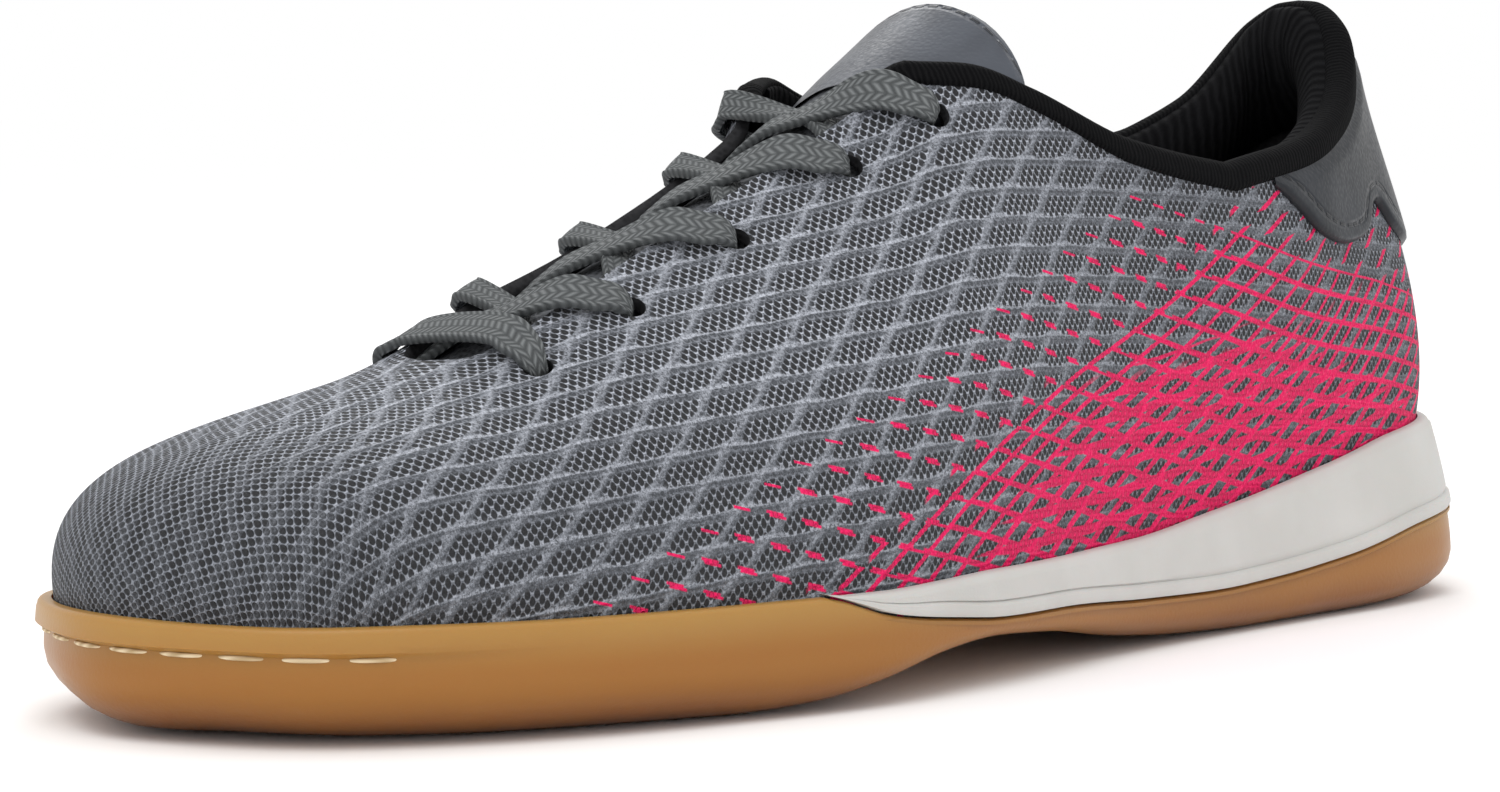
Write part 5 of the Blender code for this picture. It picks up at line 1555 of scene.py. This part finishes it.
def throat_edge(side, x):
    """The throat edge's point at x, with the skin's normal there."""
    places = np.linspace(float(EYELETS["around"][-1]), 1.0, 60)
    xs = [upper_top(side, float(around)).x for around in places]
    around = float(np.interp(-x, -np.array(xs), places))
    point, normal, _ = upper_frame(side, around, 1.0)
    return point, normal


def tongue_knot(x, y, lift, tilt):
    """A place of the lace above the tongue, with the way it faces."""
    along = share_along(x)
    half = TONGUE_HALF_WIDTH * read(TONGUE_SECTIONS, "half_width", along)
    middle = BALL_WIDTH * read(MIDDLE_LINE, "shift", along)
    point = tongue_surface(along, (y - middle) / half)
    normal = Vector((tilt, 0.6 * (y - middle) / TONGUE_ARCH_RADIUS, 1.0)).normalized()
    return point + normal * lift, normal


def into_hole(point, normal, way, stand):
    """The last knots of a strand: flat before its eyelet, then bunched and down through the hole."""
    clear = GAP + LACE_THICKNESS / 2
    return [
        (point - way * FLAT_BACK + normal * (clear + FLAT_STAND * stand), normal, FLAT_WIDTH),
        (
            point - way * BEND_BACK + normal * (clear + BEND_STAND * stand),
            (normal + way * 0.25).normalized(),
            BEND_WIDTH,
        ),
        (point - way * ENTRY_BACK - normal * ENTRY_DEPTH, (normal * 0.4 + way).normalized(), HOLE_WIDTH),
        (point - way * END_BACK - normal * END_DEPTH, way, HOLE_WIDTH),
    ]


def lace_mesh(name, knots, pieces):
    """A flat braided ribbon through (point, normal, width) knots."""
    points = catmull([tuple(k[0]) for k in knots], LACE_STEPS, False)
    normals = catmull([tuple(k[1]) for k in knots], LACE_STEPS, False)
    widths = np.interp(np.arange(len(points)) / LACE_STEPS, range(len(knots)), [k[2] for k in knots])
    turns = np.linspace(0, 2 * math.pi, LACE_TURNS)
    run = np.concatenate([[0], np.cumsum(np.linalg.norm(np.diff(points, axis=0), axis=1))])
    rings, marks = [], []
    for i, (point, normal, width) in enumerate(zip(points, normals, widths)):
        ahead = Vector(points[min(i + 1, len(points) - 1)] - points[max(i - 1, 0)])
        across = ahead.cross(Vector(normal)).normalized()
        up = across.cross(ahead).normalized()
        thick = LACE_THICKNESS * (LACE_WIDTH / width) ** 0.5
        ring, mark = [], []
        for turn in turns:
            a, b = math.cos(turn), math.sin(turn)
            a_off = math.copysign(abs(a) ** LACE_EDGE_ROUND, a) * width / 2
            cord = CORD_HEIGHT * thick * math.exp(-((abs(a) - CORD_PLACE) / CORD_WIDTH) ** 2)
            b_off = math.copysign(abs(b) ** LACE_SQUARENESS, b) * (thick / 2)
            b_off += math.copysign(cord, b) * (abs(b) > 1e-6)
            ring.append(Vector(point) + across * a_off + up * b_off)
            mark.append((1000 * run[i], 500 * LACE_WIDTH * a))
        rings.append(ring)
        marks.append(mark)
    shape = bmesh.new()
    lay_grid(shape, np.array(rings), [("braid", np.array(marks))])
    bmesh.ops.remove_doubles(shape, verts=shape.verts, dist=MERGE_DISTANCE)
    bmesh.ops.holes_fill(shape, edges=shape.edges)
    to_piece(name, shape, pieces, [lace_braid], crease=60)


lace_braid, lace_tree, lace_shader = new_material("flat_braid")
lace_along, lace_across = uv_millimetres(lace_tree, "braid")
lace_column = plus(lace_tree, ratio(lace_tree, lace_across, PLAIT_WIDTH), 0.5)
lace_place = minus(lace_tree, calc(lace_tree, "FRACT", lace_column), 0.5)
lace_parity = calc(lace_tree, "FRACT", times(lace_tree, calc(lace_tree, "FLOOR", lace_column), 0.5))
lace_slant = minus(lace_tree, times(lace_tree, lace_parity, 4.0), 1.0)
lace_turn = times(lace_tree, times(lace_tree, lace_place, lace_slant), 0.9)
lace_turn = plus(lace_tree, ratio(lace_tree, lace_along, PLAIT_LENGTH), lace_turn)
lace_wave = calc(lace_tree, "SINE", times(lace_tree, lace_turn, math.tau))
lace_wave = plus(lace_tree, 0.5, times(lace_tree, lace_wave, 0.5))
lace_off = calc(lace_tree, "ABSOLUTE", lace_place)
lace_spot = add_node(lace_tree, "ShaderNodeCombineXYZ", {0: lace_along, 1: lace_across}).outputs[0]
lace_fibre = noise(lace_tree, lace_spot, 5.0, 2.0, 0.7)
# Painted highlight and shade: each plait is painted lighter along its raised middle and darker at its sides
# and in the dips between plaits, following the relief.
lace_plait_relief_and_light = times(lace_tree, lace_wave, ramp(lace_tree, lace_off, 0.5, 0.28, 0.30, 1.0))
lace_colour = mix_colour(lace_tree, lace_plait_relief_and_light, PLAIT_DARK, PLAIT_HIGHLIGHT)
lace_colour = mix_colour(lace_tree, times(lace_tree, lace_fibre, 0.4), lace_colour, FIBRE_LIGHT)
join(lace_tree, lace_shader.inputs["Base Color"], lace_colour)
lace_shader.inputs["Roughness"].default_value = 0.7
lace_shader.inputs["Specular IOR Level"].default_value = 0.2
lace_relief = plus(lace_tree, times(lace_tree, lace_plait_relief_and_light, 0.22), times(lace_tree, lace_fibre, 0.06))
bump(lace_tree, lace_shader, lace_relief, MILLIMETRE)

lace_clear = GAP + LACE_THICKNESS / 2
bar_knots = []
for side in (LATERAL, MEDIAL):
    point, normal = eyelet_place(side, 0)
    edge, edge_normal = throat_edge(side, point.x + BAR_LEAN)
    way = (point - edge).normalized()
    stand = LACE_STAND if side == LATERAL else 0.0
    flat = [(edge + edge_normal * (lace_clear + stand), edge_normal, LACE_WIDTH)]
    knots = flat + into_hole(point, normal, way, stand)
    bar_knots += knots[::-1] if side == LATERAL else knots
lace_mesh("lace_bar_braid", bar_knots, ["lace_bar"])
for number in range(len(EYELETS["around"]) - 1):
    for side, lift in ((LATERAL, LACE_SLACK), (MEDIAL, LACE_PILE)):
        start = eyelet_place(side, number)[0]
        end, end_normal = eyelet_place(-side, number + 1)
        middle_x, middle_y = blend(start.x, end.x, CROSS_SHARE[side]), (start.y + end.y) / 2
        width = LACE_WIDTH if side == MEDIAL else BAND_WIDTH
        x_out = blend(start.x, middle_x, OUT_SHARE)
        edge_out = throat_edge(side, x_out)[0]
        y_out = edge_out.y - side * LACE_CLEARANCE
        x_half, y_half = (x_out + middle_x) / 2, (y_out + middle_y) / 2
        x_in = blend(end.x, middle_x, IN_SHARE)
        edge_in, edge_normal = throat_edge(-side, x_in)
        way = (end - edge_in).normalized()
        tilt = NEAR_TILT if side == MEDIAL else FAR_TILT
        hidden = tongue_knot(x_out - HIDDEN_BACK, y_out + side * HIDDEN_UNDER, lace_clear, tilt)
        knots = [
            (*hidden, width),
            (*tongue_knot(x_out, y_out, lace_clear + LACE_STAND / 2, tilt), width),
            (*tongue_knot(x_half, y_half, lace_clear + (lift + LACE_STAND) / 2, tilt), width),
            (*tongue_knot(middle_x, middle_y, lace_clear + lift, tilt), width),
            (edge_in + edge_normal * (lace_clear + LACE_STAND), edge_normal, width),
        ]
        knots += into_hole(end, end_normal, way, LACE_STAND)
        name = f"lace_strand_{'near' if side == MEDIAL else 'far'}_{number + 1}"
        lace_mesh(name, knots, [f"lace_crossing_{number + 1}"])
